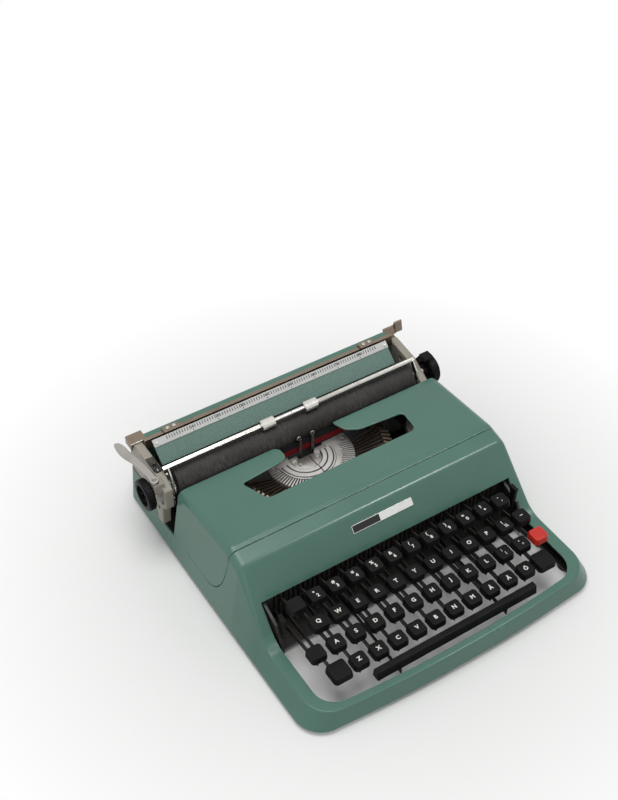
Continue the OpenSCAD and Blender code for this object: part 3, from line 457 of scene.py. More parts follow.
def dressed(node, width=None, segments=2, angle=34.0, slot=None):
    """A CAD node with its edges rounded and its finish on."""
    bm = cad_copy(node)
    soften(bm, width or sizes().metal_rounding, segments, angle)
    piece(node + "_finished", bm, slot or SLOT_OF[node], BODY_OF[node], node)


def painted(*nodes, slot=None):
    """Gives CAD nodes whose shape is right their finish."""
    for node in nodes:
        frame["nodes"][node].material_slots[0].material = finish(slot or SLOT_OF[node])


def islands(node):
    """The boxes of a node's separate solids, from left to right."""
    bm = merged(node)
    left, found = set(bm.verts), []
    while left:
        stack, group = [left.pop()], []
        while stack:
            vert = stack.pop()
            group.append(vert.co.copy())
            for edge in vert.link_edges:
                other = edge.other_vert(vert)
                if other in left:
                    left.remove(other)
                    stack.append(other)
        found.append(corners_of(group))
    bm.free()
    return sorted(found, key=lambda box: box[0].x)


def flat_side(node, towards):
    """Centre and normal of the largest flat side of a node that looks in a direction."""
    mesh = frame["nodes"][node].data
    facing = [face for face in mesh.polygons if face.normal.dot(towards) > 0.5]
    normal = max(facing, key=lambda face: face.area).normal.copy()
    level = [face for face in facing if face.normal.dot(normal) > 0.999]
    points = [mesh.vertices[i].co for face in level for i in face.vertices]
    low, high = corners_of(points)
    return (low + high) / 2, normal


def lying_on(centre, normal, shift=(0.0, 0.0, 0.0)):
    """A matrix that lays a flat thing on a side, reading from the front."""
    across = Vector((1.0, 0.0, 0.0))
    up = normal.cross(across)
    turn = Matrix((across, up, normal)).transposed().to_4x4()
    return Matrix.Translation(centre) @ turn @ Matrix.Translation(shift)


FONT_SIZE = 1.38
FONT_WEIGHT = 0.045


def lettering(bm, words, height, matrix):
    """Adds a word as thin raised lettering, centred on the matrix."""
    curve = bpy.data.curves.new("lettering", "FONT")
    curve.body = words
    curve.size = height * FONT_SIZE
    curve.extrude = sizes().legend_rise / 2
    curve.offset = height * FONT_WEIGHT
    curve.resolution_u = 3
    holder = bpy.data.objects.new("lettering", curve)
    mesh = bpy.data.meshes.new_from_object(holder)
    xs = [v.co.x for v in mesh.vertices]
    ys = [v.co.y for v in mesh.vertices]
    middle = Vector(((min(xs) + max(xs)) / 2, (min(ys) + max(ys)) / 2, 0.0))
    put_in(bm, mesh, matrix @ Matrix.Translation(-middle))
    bpy.data.objects.remove(holder)
    bpy.data.curves.remove(curve)


def block(bm, low, high, matrix=None):
    """Adds a box between two corners."""
    low, high = Vector(low), Vector(high)
    size = high - low
    place = (matrix or Matrix()) @ Matrix.Translation((low + high) / 2) @ Matrix.Diagonal((*size, 1.0))
    bmesh.ops.create_cube(bm, size=1.0, matrix=place)


def cone(bm, foot, top, height, matrix=None, segments=24):
    """Adds a closed round body from the radius of its foot to that of its top."""
    bmesh.ops.create_cone(
        bm, cap_ends=True, segments=segments, radius1=foot, radius2=top, depth=height,
        matrix=matrix or Matrix(),
    )


def sliced(bm, place, normal, clear_outer=False):
    """Cuts everything with a plane; gives the edges of the cut."""
    whole = bm.verts[:] + bm.edges[:] + bm.faces[:]
    cut = bmesh.ops.bisect_plane(bm, geom=whole, plane_co=place, plane_no=normal, clear_outer=clear_outer)
    return [g for g in cut["geom_cut"] if isinstance(g, bmesh.types.BMEdge)]


def spun(bm, points, closed, centre, axis, angle, steps):
    """Adds what a line of points sweeps about an axis; a full turn closes on itself."""
    verts = [bm.verts.new(point) for point in points]
    edges = [bm.edges.new((verts[i - 1], verts[i])) for i in range(0 if closed else 1, len(verts))]
    full = angle == FULL_TURN
    bmesh.ops.spin(bm, geom=verts + edges, cent=centre, axis=axis, angle=angle, steps=steps, use_merge=full)
    if full:
        bmesh.ops.remove_doubles(bm, verts=bm.verts, dist=MERGE)
        bmesh.ops.recalc_face_normals(bm, faces=bm.faces)


def turned(bm, outline, segments, y, z):
    """Adds a body of revolution about an X axis, from an outline of (x, radius)."""
    spun(bm, [(x, y, z + r) for x, r in outline], False, (0, y, z), (1, 0, 0), FULL_TURN, segments)


def corner_arc(before, corner, after, radius, steps):
    """Points of a round that takes the place of a corner between two straight lines."""
    towards, away = (before - corner).normalized(), (after - corner).normalized()
    half = towards.angle(away) / 2
    centre = corner + (towards + away).normalized() * (radius / math.sin(half))
    start = corner + towards * (radius / math.tan(half)) - centre
    end = corner + away * (radius / math.tan(half)) - centre
    return [centre + start.normalized().slerp(end.normalized(), i / steps) * radius for i in range(steps + 1)]


def rounded_outline(corners, steps=8):
    """A closed outline in a plane, from corners given as (place, radius)."""
    points = []
    for i, (corner, radius) in enumerate(corners):
        before, after = corners[i - 1][0], corners[(i + 1) % len(corners)][0]
        points += corner_arc(before, corner, after, radius, steps) if radius else [corner]
    return points


def prism(outline, reach):
    """A solid from an outline and the vector it is drawn out along."""
    bm = bmesh.new()
    face = bm.faces.new([bm.verts.new(point) for point in outline])
    made = bmesh.ops.extrude_face_region(bm, geom=[face])["geom"]
    bmesh.ops.translate(bm, verts=[g for g in made if isinstance(g, bmesh.types.BMVert)], vec=reach)
    bmesh.ops.holes_fill(bm, edges=[e for e in bm.edges if e.is_boundary])
    bmesh.ops.recalc_face_normals(bm, faces=bm.faces)
    return bm


def sheet_grid(bm, rows):
    """Adds a smooth sheet through rows of points."""
    across, along = len(rows[0]), len(rows)
    made = bmesh.ops.create_grid(bm, x_segments=across - 1, y_segments=along - 1, size=1.0)["verts"]
    for vert, point in zip(made, [point for row in rows for point in row]):
        vert.co = point


def held_as_object(bm):
    """A passing object for the modifiers to work on."""
    return as_object("passing", as_mesh(bm, "passing"))


def pressed(sheet, thickness, cuts):
    """A sheet given its thickness on the inner side, and then cut with solids."""
    obj = held_as_object(sheet.copy())
    wall = obj.modifiers.new("Wall", "SOLIDIFY")
    wall.thickness = thickness
    wall.offset = -1.0
    wall.use_even_offset = True
    helpers = [obj]
    for operation, solid in cuts:
        cutter = held_as_object(solid.copy())
        helpers.append(cutter)
        cut = obj.modifiers.new("Cut", "BOOLEAN")
        cut.operation = operation
        cut.solver = "EXACT"
        cut.use_self = True
        cut.object = cutter
    bm = bmesh.new()
    bm.from_object(obj, bpy.context.evaluated_depsgraph_get())
    for helper in helpers:
        mesh = helper.data
        bpy.data.objects.remove(helper)
        bpy.data.meshes.remove(mesh)
    bmesh.ops.remove_doubles(bm, verts=bm.verts, dist=0.05 * MM)
    bmesh.ops.dissolve_degenerate(bm, edges=bm.edges, dist=0.05 * MM)
    return bm


def screw(bm, radius, height, matrix, turn):
    """Adds a slotted screw head."""
    place = matrix @ Matrix.Rotation(turn, 4, "Z")
    cone(bm, radius, radius, height * 0.6, place @ Matrix.Translation((0, 0, height * 0.3)))
    for side in (-1, 1):
        half = bmesh.new()
        cone(half, radius, radius * 0.86, height * 0.4)
        cut = sliced(half, (0, side * radius * 0.14, 0), (0, -side, 0), clear_outer=True)
        bmesh.ops.contextual_create(half, geom=cut)
        bmesh.ops.recalc_face_normals(half, faces=half.faces)
        put_in(bm, as_mesh(half, "screw half"), place @ Matrix.Translation((0, 0, height * 0.8)))


CAP_FOOT = 1.28 * MM
# Rim and dish of a key top in millimetres, from the outside in, as (inset, lift); the rim lifts by its rise
RIM_RISE = 0.72
RIM_AND_DISH = ((0.12, 0.34), (0.20, 0.25), (0.32, 0.13), (0.5, -0.03), (0.9, -0.05))


def key_top(width, depth, height):
    """A mesh of one key top, with its upper rim at the origin: a tapered block with a shallow dish."""
    bm = bmesh.new()
    block(bm, (-width / 2, -depth / 2, -height), (width / 2, depth / 2, -height + CAP_FOOT))
    upright = [e for e in bm.edges if abs(e.verts[0].co.z - e.verts[1].co.z) > CAP_FOOT / 2]
    corner = sizes().cap_corner
    bmesh.ops.bevel(bm, geom=upright, offset=corner, segments=6, profile=0.5, affect="EDGES", material=-1)
    top = max(bm.faces, key=lambda face: face.calc_center_median().z)
    rise = (height - CAP_FOOT) / MM - RIM_RISE
    for inset, lift in ((0.3, rise / 2), (0.35, rise / 2), *RIM_AND_DISH):
        bmesh.ops.inset_region(bm, faces=[top], thickness=inset * MM, depth=lift * MM, use_even_offset=True)
    return as_mesh(bm, "key top")


def set_key_tops(bm, boxes):
    """Adds a key top in each box."""
    for low, high in boxes:
        mesh = key_top(high.x - low.x, high.y - low.y, high.z - low.z)
        put_in(bm, mesh, Matrix.Translation(((low.x + high.x) / 2, (low.y + high.y) / 2, high.z)))


CAP_HEIGHT = 6.5 * MM
CAP_DEPTH = 14.4 * MM
DISH = 0.07 * MM
# Where the lower and the upper sign of a key lie from its middle
SIGN_SHIFTS = ((0.7 * MM, -2.1 * MM, 0.0), (-1.0 * MM, 2.2 * MM, 0.0))
ROW_LEGENDS = {
    "keytops_row_1": ["2\"", "3#", "4¤", "5%", "6&", "7/", "8(", "9)", "0=", "+?", "´`"],
    "keytops_row_2": ["Q", "W", "E", "R", "T", "Y", "U", "I", "O", "P", "½!"],
    "keytops_row_3": ["A", "S", "D", "F", "G", "J", "K", "L", ";:", "*'"],
    "keytops_row_4": ["Z", "X", "C", "V", "B", "N", "M", "Å", "Ä", "Ö"],
}
LONE_LEGENDS = {"striking_key": "H", "backspace_key": "–"}


def legend(bm, signs, box):
    """Adds the lettering of one key: one letter, or two signs one above the other."""
    low, high = box
    middle = Vector(((low.x + high.x) / 2, (low.y + high.y) / 2, high.z - DISH + sizes().legend_rise / 2))
    if len(signs) == 1:
        lettering(bm, signs, sizes().letter_height, Matrix.Translation(middle))
        return
    for sign, shift in zip(signs, SIGN_SHIFTS):
        lettering(bm, sign, sizes().sign_height, Matrix.Translation(middle + Vector(shift)))


# Places on the case, in millimetres from its middle: bottom edge, lip and keyboard opening
BOTTOM = {"half": 149.5, "front": -164.0, "round": 25.0, "height": 4.0, "rear": 156.0}
LIP = {"half": 140.0, "front": -161.0, "round": 25.0, "height": 22.0, "rear": 168.35}
OPENING = {"half": 129.0, "front": -154.5, "round": 20.0, "height": 22.0, "rear": 154.0}
FRONT_BOW = 5.0
REAR_ROUND = 10.0
OPENING_REAR_ROUND = 4.0
SHEET = 2.0
# Rounding of the upper edge at the lip, its growth with the height, and the height at which it is full
EDGE_ROUND = 1.8
EDGE_GROWTH = 6.2
GROWTH_HEIGHT = 50.0
# How far the walls lean in, over which height
LEAN = 3.0
LEAN_HEIGHT = 60.0
# Steps along the front, round a front and a rear corner, round a bend of the side view, and along the seam
FRONT_STEPS = 12
CORNER_STEPS = 10
REAR_STEPS = 6
BEND_STEPS = 10
SEAM_STEPS = 16
# Side view of the panel and cover: rounds as (y, z, radius, first angle, last angle), then the cover's fall
PANEL_FOOT = (-86.95, 47.0, 25.0, -90.0, -38.9)
RIDGE = (-26.0, 70.0, 8.0, 141.1, 104.0)
CROWN = (-10.0, 74.0, 8.0, 104.0, 85.1)
PANEL_EDGE = (-52.0, 50.5)
COVER_FALL = 0.0854
COVER_END = 78.0
COVER_REAR = 72.0
FAR = 400.0
# The carriage's way through the side walls, and the cut that parts the cover from the body, seen from the side
CARRIAGE_WAY = ((COVER_REAR, FAR), (COVER_REAR, 22), (103, 22), (107, 50), (FAR, 50), (FAR, FAR))
SEAM = ((-16.0, 70.0), (-15.0, 46.0), (-8.0, 24.0), (12.0, 24.0))
SEAM_GAP = 0.4
# Outline of the opening over the type basket, as (x, y, radius), and where its cut starts
APERTURE_FOOT = 30.0
APERTURE = (
    (-87.0, 49.0, 2.5), (-77.7, 21.0, 7.0), (77.4, 20.8, 7.0), (81.2, 46.0, 4.0), (36.0, 50.0, 12.0),
    (25.5, 57.0, 9.0), (21.5, 68.5, 0.0), (21.5, FAR, 0.0), (-60.0, FAR, 0.0), (-60.0, 72.2, 0.0),
    (-37.0, 72.2, 7.0), (-37.5, 55.5, 6.5), (-46.0, 53.2, 5.0),
)


class TYPEWRITER_OT_case(bpy.types.Operator):
    """Case body, lift-off cover, bare name plate, floor pan and feet"""

    bl_idname = "typewriter.case"
    bl_label = "Case"

    def execute(self, context):
        low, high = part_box("bottom_pan")
        self.to_part = Matrix.Translation(((low.x + high.x) / 2, 0, 0)) @ Matrix.Scale(MM, 4)
        skin = self.skin()
        way = self.across(CARRIAGE_WAY)
        corners = [(Vector((x, y, APERTURE_FOOT)), radius) for x, y, radius in APERTURE]
        aperture = prism(rounded_outline(corners), (0, 0, FAR))
        aperture.transform(self.to_part)
        parted = [("DIFFERENCE", way), ("DIFFERENCE", self.cover_side(0.0))]
        kept = [("DIFFERENCE", way), ("INTERSECT", self.cover_side(SEAM_GAP)), ("DIFFERENCE", aperture)]
        for node, cuts in (("body_shell", parted), ("ribbon_cover", kept)):
            bm = pressed(skin, SHEET * MM, cuts)
            if not bm.faces:
                raise RuntimeError(f"nothing is left of {node}")
            soften(bm, sizes().case_rounding, 2, 50.0)
            piece(node + "_pressed", bm, SLOT_OF[node], BODY_OF[node], node, flat=50.0)
        for bm in (skin, way, aperture):
            bm.free()
        self.name_plate()
        painted("rubber_feet", "bottom_pan")
        return {"FINISHED"}

    def across(self, outline):
        """A solid right across the case, from its side view."""
        bm = prism([Vector((-FAR, y, z)) for y, z in outline], (2 * FAR, 0, 0))
        bm.transform(self.to_part)
        return bm

    def cover_side(self, gap):
        """What belongs to the cover, with the seam's curve down each side."""
        a, b, c, d = [Vector(place) for place in SEAM]
        curve = []
        for i in range(SEAM_STEPS + 1):
            t = i / SEAM_STEPS
            point = (1 - t) ** 3 * a + 3 * t * (1 - t) ** 2 * b + 3 * t * t * (1 - t) * c + t ** 3 * d
            curve.append((point.x + gap, point.y + gap))
        end = COVER_REAR + 1.0
        return self.across([(end, SEAM[3][1] + gap), (end, FAR), (SEAM[0][0] + gap, FAR)] + curve)

    def side_view(self):
        """Heights of the case from the keyboard to the cover's rear, as (y, z)."""
        points = [(y, LIP["height"]) for y in (-125.0, -115.0, -105.0, -98.0, -93.0, -89.5)]
        for y, z, radius, first, last in (PANEL_FOOT, RIDGE, CROWN):
            for i in range(BEND_STEPS + 1):
                angle = math.radians(first + (last - first) * i / BEND_STEPS)
                points.append((y + radius * math.cos(angle), z + radius * math.sin(angle)))
            if radius == PANEL_FOOT[2]:
                points.append(PANEL_EDGE)
        y, z = points[-1]
        for place in (10.0, 30.0, 50.0, COVER_END):
            points.append((place, z - COVER_FALL * (place - y)))
        return points

    def section(self, base, corner, inner):
        """One cut through the sheet: wall, rounded edge and flat top."""
        radius = EDGE_ROUND + EDGE_GROWTH * min(1.0, max(0.0, (corner.z - LIP["height"]) / GROWTH_HEIGHT))
        return [base] + corner_arc(base, corner, inner, radius, 7) + [inner]

    def skin(self):
        """The whole pressed sheet: the left half from front to rear and the top, then its mirror image."""
        rows = []
        for i in range(FRONT_STEPS):
            k = i / FRONT_STEPS
            points = []
            for edge in (BOTTOM, LIP, OPENING):
                x = -k * (edge["half"] - edge["round"])
                points.append(Vector((x, edge["front"] + FRONT_BOW * k * k, edge["height"])))
            rows.append(self.section(*points))
        for i in range(CORNER_STEPS + 1):
            angle = math.radians(270.0 - 90.0 / CORNER_STEPS * i)
            points = []
            for edge in (BOTTOM, LIP, OPENING):
                x = -edge["half"] + edge["round"] * (1 + math.cos(angle))
                y = edge["front"] + FRONT_BOW + edge["round"] * (1 + math.sin(angle))
                points.append(Vector((x, y, edge["height"])))
            rows.append(self.section(*points))
        top = []
        for y, z in self.side_view():
            narrow = LEAN * (z - LIP["height"]) / LEAN_HEIGHT
            inner = Vector((-OPENING["half"], y, z))
            base = Vector((-BOTTOM["half"], y, BOTTOM["height"]))
            rows.append(self.section(base, Vector((-LIP["half"] + narrow, y, z)), inner))
            if y >= PANEL_EDGE[0]:
                top.append([inner, Vector((0.0, y, z))])
        for i in range(REAR_STEPS + 2):
            angle = math.radians(180.0 - 90.0 / REAR_STEPS * min(i, REAR_STEPS))
            points = []
            for edge, half, round_in, height in (
                (BOTTOM, BOTTOM["half"], REAR_ROUND, BOTTOM["height"]),
                (LIP, LIP["half"] - narrow, REAR_ROUND, z),
                (OPENING, OPENING["half"], OPENING_REAR_ROUND, z),
            ):
                x = 0.0 if i > REAR_STEPS else -half + round_in * (1 + math.cos(angle))
                points.append(Vector((x, edge["rear"] - round_in * (1 - math.sin(angle)), height)))
            rows.append(self.section(*points))
        bm = bmesh.new()
        sheet_grid(bm, rows)
        sheet_grid(bm, top)
        bmesh.ops.mirror(bm, geom=bm.verts[:] + bm.edges[:] + bm.faces[:], merge_dist=0.0, axis="X")
        bmesh.ops.remove_doubles(bm, verts=bm.verts, dist=0.01)
        bmesh.ops.recalc_face_normals(bm, faces=bm.faces)
        if max(bm.faces, key=lambda face: face.calc_center_median().z).normal.z < 0:
            bmesh.ops.reverse_faces(bm, faces=bm.faces)
        bm.transform(self.to_part)
        return bm

    def name_plate(self):
        """Two bare fields side by side, black and bright, in a thin bright frame."""
        low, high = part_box("name_plate")
        centre, normal = flat_side("name_plate", Vector((0, -0.6, 0.8)))
        half_w = (high.x - low.x) / 2
        half_l = math.hypot(high.y - low.y, high.z - low.z) / 2 - 0.25 * MM
        place = lying_on(centre, normal)
        back = bmesh.new()
        block(back, (-half_w, -half_l, -0.6 * MM), (half_w, half_l, -0.05 * MM), place)
        soften(back, 0.15 * MM)
        piece("name_plate_back", back, "plate_bright", "case", "name_plate")
        split = -half_w + 2 * half_w * 0.45
        for name, slot, left, right in (
            ("name_plate_dark_field", "plate_metal", -half_w + 0.5 * MM, split - 0.1 * MM),
            ("name_plate_bright_field", "plate_bright", split + 0.1 * MM, half_w - 0.5 * MM),
        ):
            field = bmesh.new()
            block(field, (left, -half_l + 0.5 * MM, -0.05 * MM), (right, half_l - 0.5 * MM, 0.0), place)
            piece(name, field, slot, "case")


class TYPEWRITER_OT_chassis(bpy.types.Operator):
    """Side plates, comb, shafts, carriage rail, spring drum, escapement wheel and bell"""

    bl_idname = "typewriter.chassis"
    bl_label = "Chassis"

    def execute(self, context):
        for node in ("chassis_frame", "key_comb", "carriage_rail", "mainspring_drum", "bell"):
            dressed(node)
        painted("key_pivot_shaft", "escapement_wheel")
        return {"FINISHED"}


SEGMENT_RADIUS = 42.0 * MM
HUB_DROP = 3.0 * MM
HUB_SHIFT = -4.0 * MM
STRIKER_WAY = 0.5 * MM
# Bands on the segment in millimetres: name, inner and outer radius, rise and finish, and how deep they reach
BANDS = (
    # The lowest band is dark steel that shows between the bright bands as painted shade in the grooves.
    ("ground", 15.0, 28.2, 0.12, "dark_steel"),
    ("inner", 15.7, 19.7, 0.9, "bright_steel"),
    ("outer", 20.8, 25.2, 0.7, "bright_steel"),
    ("rim", 26.2, 27.8, 0.5, "bright_steel"),
)
BAND_FOOT = -2.9
# The clamping plate in millimetres, with its screws as (x, y, radius, turn)
PLATE_RADIUS = 15.2
PLATE_REAR = 1.2
PLATE_THICKNESS = 2.2
PLATE_SCREWS = (
    (-12.0, -0.4, 2.9, 0.5), (12.2, -0.2, 2.9, 1.7), (-9.0, -6.2, 1.5, 1.1), (9.6, -5.8, 1.5, 2.3),
)
# Guide posts at each side of the basket, and the wire of the curled tips, in millimetres
POST_X = 36.0
CURL_RADIUS = 1.7
WIRE_RADIUS = 0.55


class TYPEWRITER_OT_type_basket(bpy.types.Operator):
    """Segment with its screws, typebars, type rest, working typebar and ribbon carrier"""

    bl_idname = "typewriter.type_basket"
    bl_label = "Type basket"

    def execute(self, context):
        dressed("segment", 0.15 * MM, 1)
        dressed("type_rest", 0.4 * MM)
        dressed("ribbon_vibrator", 0.4 * MM)
        # The typebars' warm brown tone is partly a painted reflection.
        painted("typebars", "striking_typebar", slot="tarnished_steel")
        low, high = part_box("segment")
        middle = Vector(((low.x + high.x) / 2, low.y + SEGMENT_RADIUS, high.z))
        self.rings(middle)
        self.hub_plate(middle)
        self.post_caps(middle)
        self.fork_curls()
        return {"FINISHED"}

    def rings(self, middle):
        """Turned bands on the segment, inside its slots; the lowest, in dark steel, shows between the others
        as painted shade in the grooves.
        """
        centre = middle + Vector((HUB_SHIFT, 0, 0))
        for name, inner, outer, rise, slot in BANDS:
            bm = bmesh.new()
            edge = min(0.3, rise / 2)
            outline = [
                (inner, BAND_FOOT), (inner, rise - edge), (inner + edge, rise), (outer - edge, rise),
                (outer, rise - edge), (outer, BAND_FOOT),
            ]
            points = [centre + Vector((r, 0.0, z)) * MM for r, z in outline]
            spun(bm, points, True, centre, (0, 0, 1), -math.pi, 64)
            self.open_way(bm, middle)
            piece(f"segment_{name}_band", bm, slot, "basket", weighted=False)

    def open_way(self, bm, middle):
        """Opens the working typebar's way through a piece and closes the cut ends."""
        for side in (-1, 1):
            sliced(bm, middle + Vector((side * STRIKER_WAY, 0, 0)), (1, 0, 0))
        inside = [f for f in bm.faces if abs(f.calc_center_median().x - middle.x) < STRIKER_WAY]
        bmesh.ops.delete(bm, geom=inside, context="FACES")
        bmesh.ops.holes_fill(bm, edges=[e for e in bm.edges if e.is_boundary])
        bmesh.ops.recalc_face_normals(bm, faces=bm.faces)

    def hub_plate(self, middle):
        """The clamping plate in the middle of the segment, with its screws."""
        hub = middle + Vector((HUB_SHIFT, 0, -HUB_DROP))
        turns = [math.pi * (1 + i / 32) for i in range(33)]
        outline = [(PLATE_RADIUS * math.cos(a), PLATE_RADIUS * math.sin(a), 0) for a in turns]
        outline += [(x, PLATE_REAR, 0) for x in (PLATE_RADIUS, -PLATE_RADIUS)]
        plate = prism([hub + Vector(point) * MM for point in outline], Vector((0, 0, PLATE_THICKNESS)) * MM)
        soften(plate, 0.3 * MM)
        self.open_way(plate, middle)
        piece("segment_plate", plate, "nickel", "basket", weighted=False)
        heads = bmesh.new()
        for x, y, radius, turn in PLATE_SCREWS:
            place = Matrix.Translation(hub + Vector((x, y, 2.1)) * MM)
            screw(heads, radius * MM, 1.7 * MM, place, turn)
        piece("segment_screws", heads, "bright_steel", "basket")

    def post_caps(self, middle):
        """Bright tops on the two guide posts of the basket."""
        caps = bmesh.new()
        for x in (-POST_X, POST_X):
            place = middle + Vector((x, 1.2, -0.85)) * MM
            cone(caps, 2.4 * MM, 2.0 * MM, 0.3 * MM, Matrix.Translation(place))
        piece("guide_post_caps", caps, "bright_steel", "case")

    def fork_curls(self):
        """Curled wire tips on the ribbon carrier."""
        low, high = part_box("ribbon_vibrator")
        curls = bmesh.new()
        for x in (low.x + 0.8 * MM, high.x - 0.8 * MM):
            centre = Vector((x, (low.y + high.y) / 2, high.z + 0.3 * MM))
            turns = [FULL_TURN * i / 10 for i in range(10)]
            round_wire = [(CURL_RADIUS + WIRE_RADIUS * math.cos(a), WIRE_RADIUS * math.sin(a)) for a in turns]
            points = [centre + Vector((out, across, 0.0)) * MM for out, across in round_wire]
            spun(curls, points, True, centre, (0, 1, 0), FULL_TURN, 24)
        piece("ribbon_carrier_curls", curls, "nickel", "vibrator", weighted=False)


RIBBON_THICKNESS = 0.2 * MM
# Where the ribbon passes the carrier and a guide post, in millimetres from its middle
RIBBON_PLACES = (26.0, 84.0, 87.0)


class TYPEWRITER_OT_ribbon(bpy.types.Operator):
    """Spool cups, spools and the woven ribbon"""

    bl_idname = "typewriter.ribbon"
    bl_label = "Ribbon"

    def execute(self, context):
        dressed("ribbon_deck", 0.3 * MM)
        for node in ("ribbon_spool_left", "ribbon_spool_right"):
            dressed(node, 0.25 * MM)
        self.strip()
        return {"FINISHED"}

    def strip(self):
        """A cotton strip from spool to spool, through the carrier."""
        low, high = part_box("ribbon")
        middle, reach = (low.x + high.x) / 2, (high.x - low.x) / 2
        rear = high.y - RIBBON_THICKNESS
        half = [(x * MM, rear) for x in RIBBON_PLACES] + [(reach, low.y + RIBBON_THICKNESS)]
        run = [(middle - x, y) for x, y in reversed(half)] + [(middle + x, y) for x, y in half]
        bm = bmesh.new()
        lower = [bm.verts.new((x, y, low.z)) for x, y in run]
        edges = [bm.edges.new(pair) for pair in zip(lower, lower[1:])]
        made = bmesh.ops.extrude_edge_only(bm, edges=edges)["geom"]
        upper = [g for g in made if isinstance(g, bmesh.types.BMVert)]
        bmesh.ops.translate(bm, verts=upper, vec=(0, 0, high.z - low.z))
        level = [e for e in bm.edges if abs(e.verts[0].co.z - e.verts[1].co.z) < MM]
        bmesh.ops.subdivide_edges(bm, edges=level, cuts=6, use_grid_fill=True)
        bmesh.ops.recalc_face_normals(bm, faces=bm.faces)
        uv = bm.loops.layers.uv.new("strip")
        for face in bm.faces:
            for loop in face.loops:
                loop[uv].uv = (loop.vert.co.x, loop.vert.co.z - low.z)
        strip = piece("inked_ribbon", bm, "ribbon_cloth", "case", "ribbon", weighted=False)
        thick = strip.modifiers.new("Cloth thickness", "SOLIDIFY")
        thick.thickness = RIBBON_THICKNESS
        thick.offset = 0.0


# Spots by the ribbon colour selector: name, y and z in millimetres, finish
COLOUR_MARKS = (("red", -61.0, 28.3, "red_mark"), ("white", -57.0, 33.5, "legend_paint"))


class TYPEWRITER_OT_keyboard(bpy.types.Operator):
    """Key tops with their legends, levers, space bar and thumb levers"""

    bl_idname = "typewriter.keyboard"
    bl_label = "Keyboard"

    def execute(self, context):
        for node, signs in ROW_LEGENDS.items():
            self.row(node, signs)
        painted("key_levers_row_1", "key_levers_row_2", "key_levers_row_3", "key_levers_row_4", "tab_lever")
        for node in ("striking_key", "shift_lock_key", "backspace_key", "margin_release_key", "shift_keys"):
            self.lone_keys(node)
        tops = bmesh.new()
        set_key_tops(tops, [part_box("tab_key")])
        piece("tab_key_top", tops, "red_plastic", "tab", "tab_key")
        dressed("space_bar", 0.6 * MM, 3, 50.0)
        self.colour_marks()
        for node in ("tab_set_lever", "ribbon_selector"):
            dressed(node, 0.6 * MM, 2)
        return {"FINISHED"}

    def colour_marks(self):
        """A red and a white spot on the side plate, by the ribbon colour selector."""
        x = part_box("ribbon_selector")[1].x + 0.15 * MM
        for name, y, z, slot in COLOUR_MARKS:
            spot = bmesh.new()
            place = Matrix.Translation((x, y * MM, z * MM)) @ Matrix.Rotation(math.pi / 2, 4, "Y")
            cone(spot, 1.5 * MM, 1.5 * MM, 0.2 * MM, place, 20)
            piece(f"colour_mark_{name}", spot, slot, "case", weighted=False)

    def row(self, node, signs):
        """One row of key tops and its lettering."""
        boxes = islands(node)
        if len(boxes) != len(signs):
            raise RuntimeError(f"{node} has {len(boxes)} key tops and {len(signs)} legends")
        tops, words = bmesh.new(), bmesh.new()
        set_key_tops(tops, boxes)
        for sign, box in zip(signs, boxes):
            legend(words, sign, box)
        piece(node + "_moulded", tops, SLOT_OF[node], BODY_OF[node], node)
        piece(node + "_legends", words, "legend_paint", BODY_OF[node], weighted=False)

    def lone_keys(self, node):
        """Keys that have a lever of their own: the CAD lever under a moulded top."""
        boxes = islands(node)
        bm = cad_copy(node)
        seat = boxes[0][1].z - CAP_HEIGHT - 0.05 * MM
        bmesh.ops.holes_fill(bm, edges=sliced(bm, (0, 0, seat), (0, 0, 1), clear_outer=True))
        piece(node + "_lever", bm, "dark_steel", BODY_OF[node], node)
        tops = bmesh.new()
        caps = []
        for low, high in boxes:
            depth = high.x - low.x if node == "shift_keys" else CAP_DEPTH
            foot = Vector((low.x, low.y, high.z - CAP_HEIGHT))
            caps.append((foot, Vector((high.x, low.y + depth, high.z))))
        set_key_tops(tops, caps)
        piece(node + "_top", tops, SLOT_OF[node], BODY_OF[node])
        if node in LONE_LEGENDS:
            words = bmesh.new()
            legend(words, LONE_LEGENDS[node], caps[0])
            piece(node + "_legend", words, "legend_paint", BODY_OF[node], weighted=False)


class TYPEWRITER_OT_carriage(bpy.types.Operator):
    """Carriage ends, bed, rear cover, margin rail and stops"""

    bl_idname = "typewriter.carriage"
    bl_label = "Carriage"

    def execute(self, context):
        for node in ("carriage_end_left", "carriage_end_right"):
            dressed(node, sizes().casting_rounding, 3, 25.0)
        dressed("carriage_rear_cover", 0.6 * MM, 3)
        dressed("carriage_bed")
        # Brown tone on the rail and stops: a painted reflection, with tarnish patches over it.
        for node in ("margin_rail", "margin_stop_left", "margin_stop_right"):
            dressed(node, 0.5 * MM, 2, slot="tarnished_steel")
        for node in ("margin_stop_left", "margin_stop_right"):
            low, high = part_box(node)
            heads = bmesh.new()
            for x in (0.3, 0.7):
                place = Vector((low.x + (high.x - low.x) * x, (low.y + high.y) / 2, high.z))
                screw(heads, 1.7 * MM, 1.0 * MM, Matrix.Translation(place), 9.0 * x)
            piece(node + "_screws", heads, "bright_steel", BODY_OF[node])
        return {"FINISHED"}


# A mark of the scale and the stub under a number in millimetres: half width, foot and head
SCALE_MARK = (0.34, -0.5, 2.5)
NUMBER_STUB = (0.4, -2.6, -1.5)
UNMARKED = 26 * MM


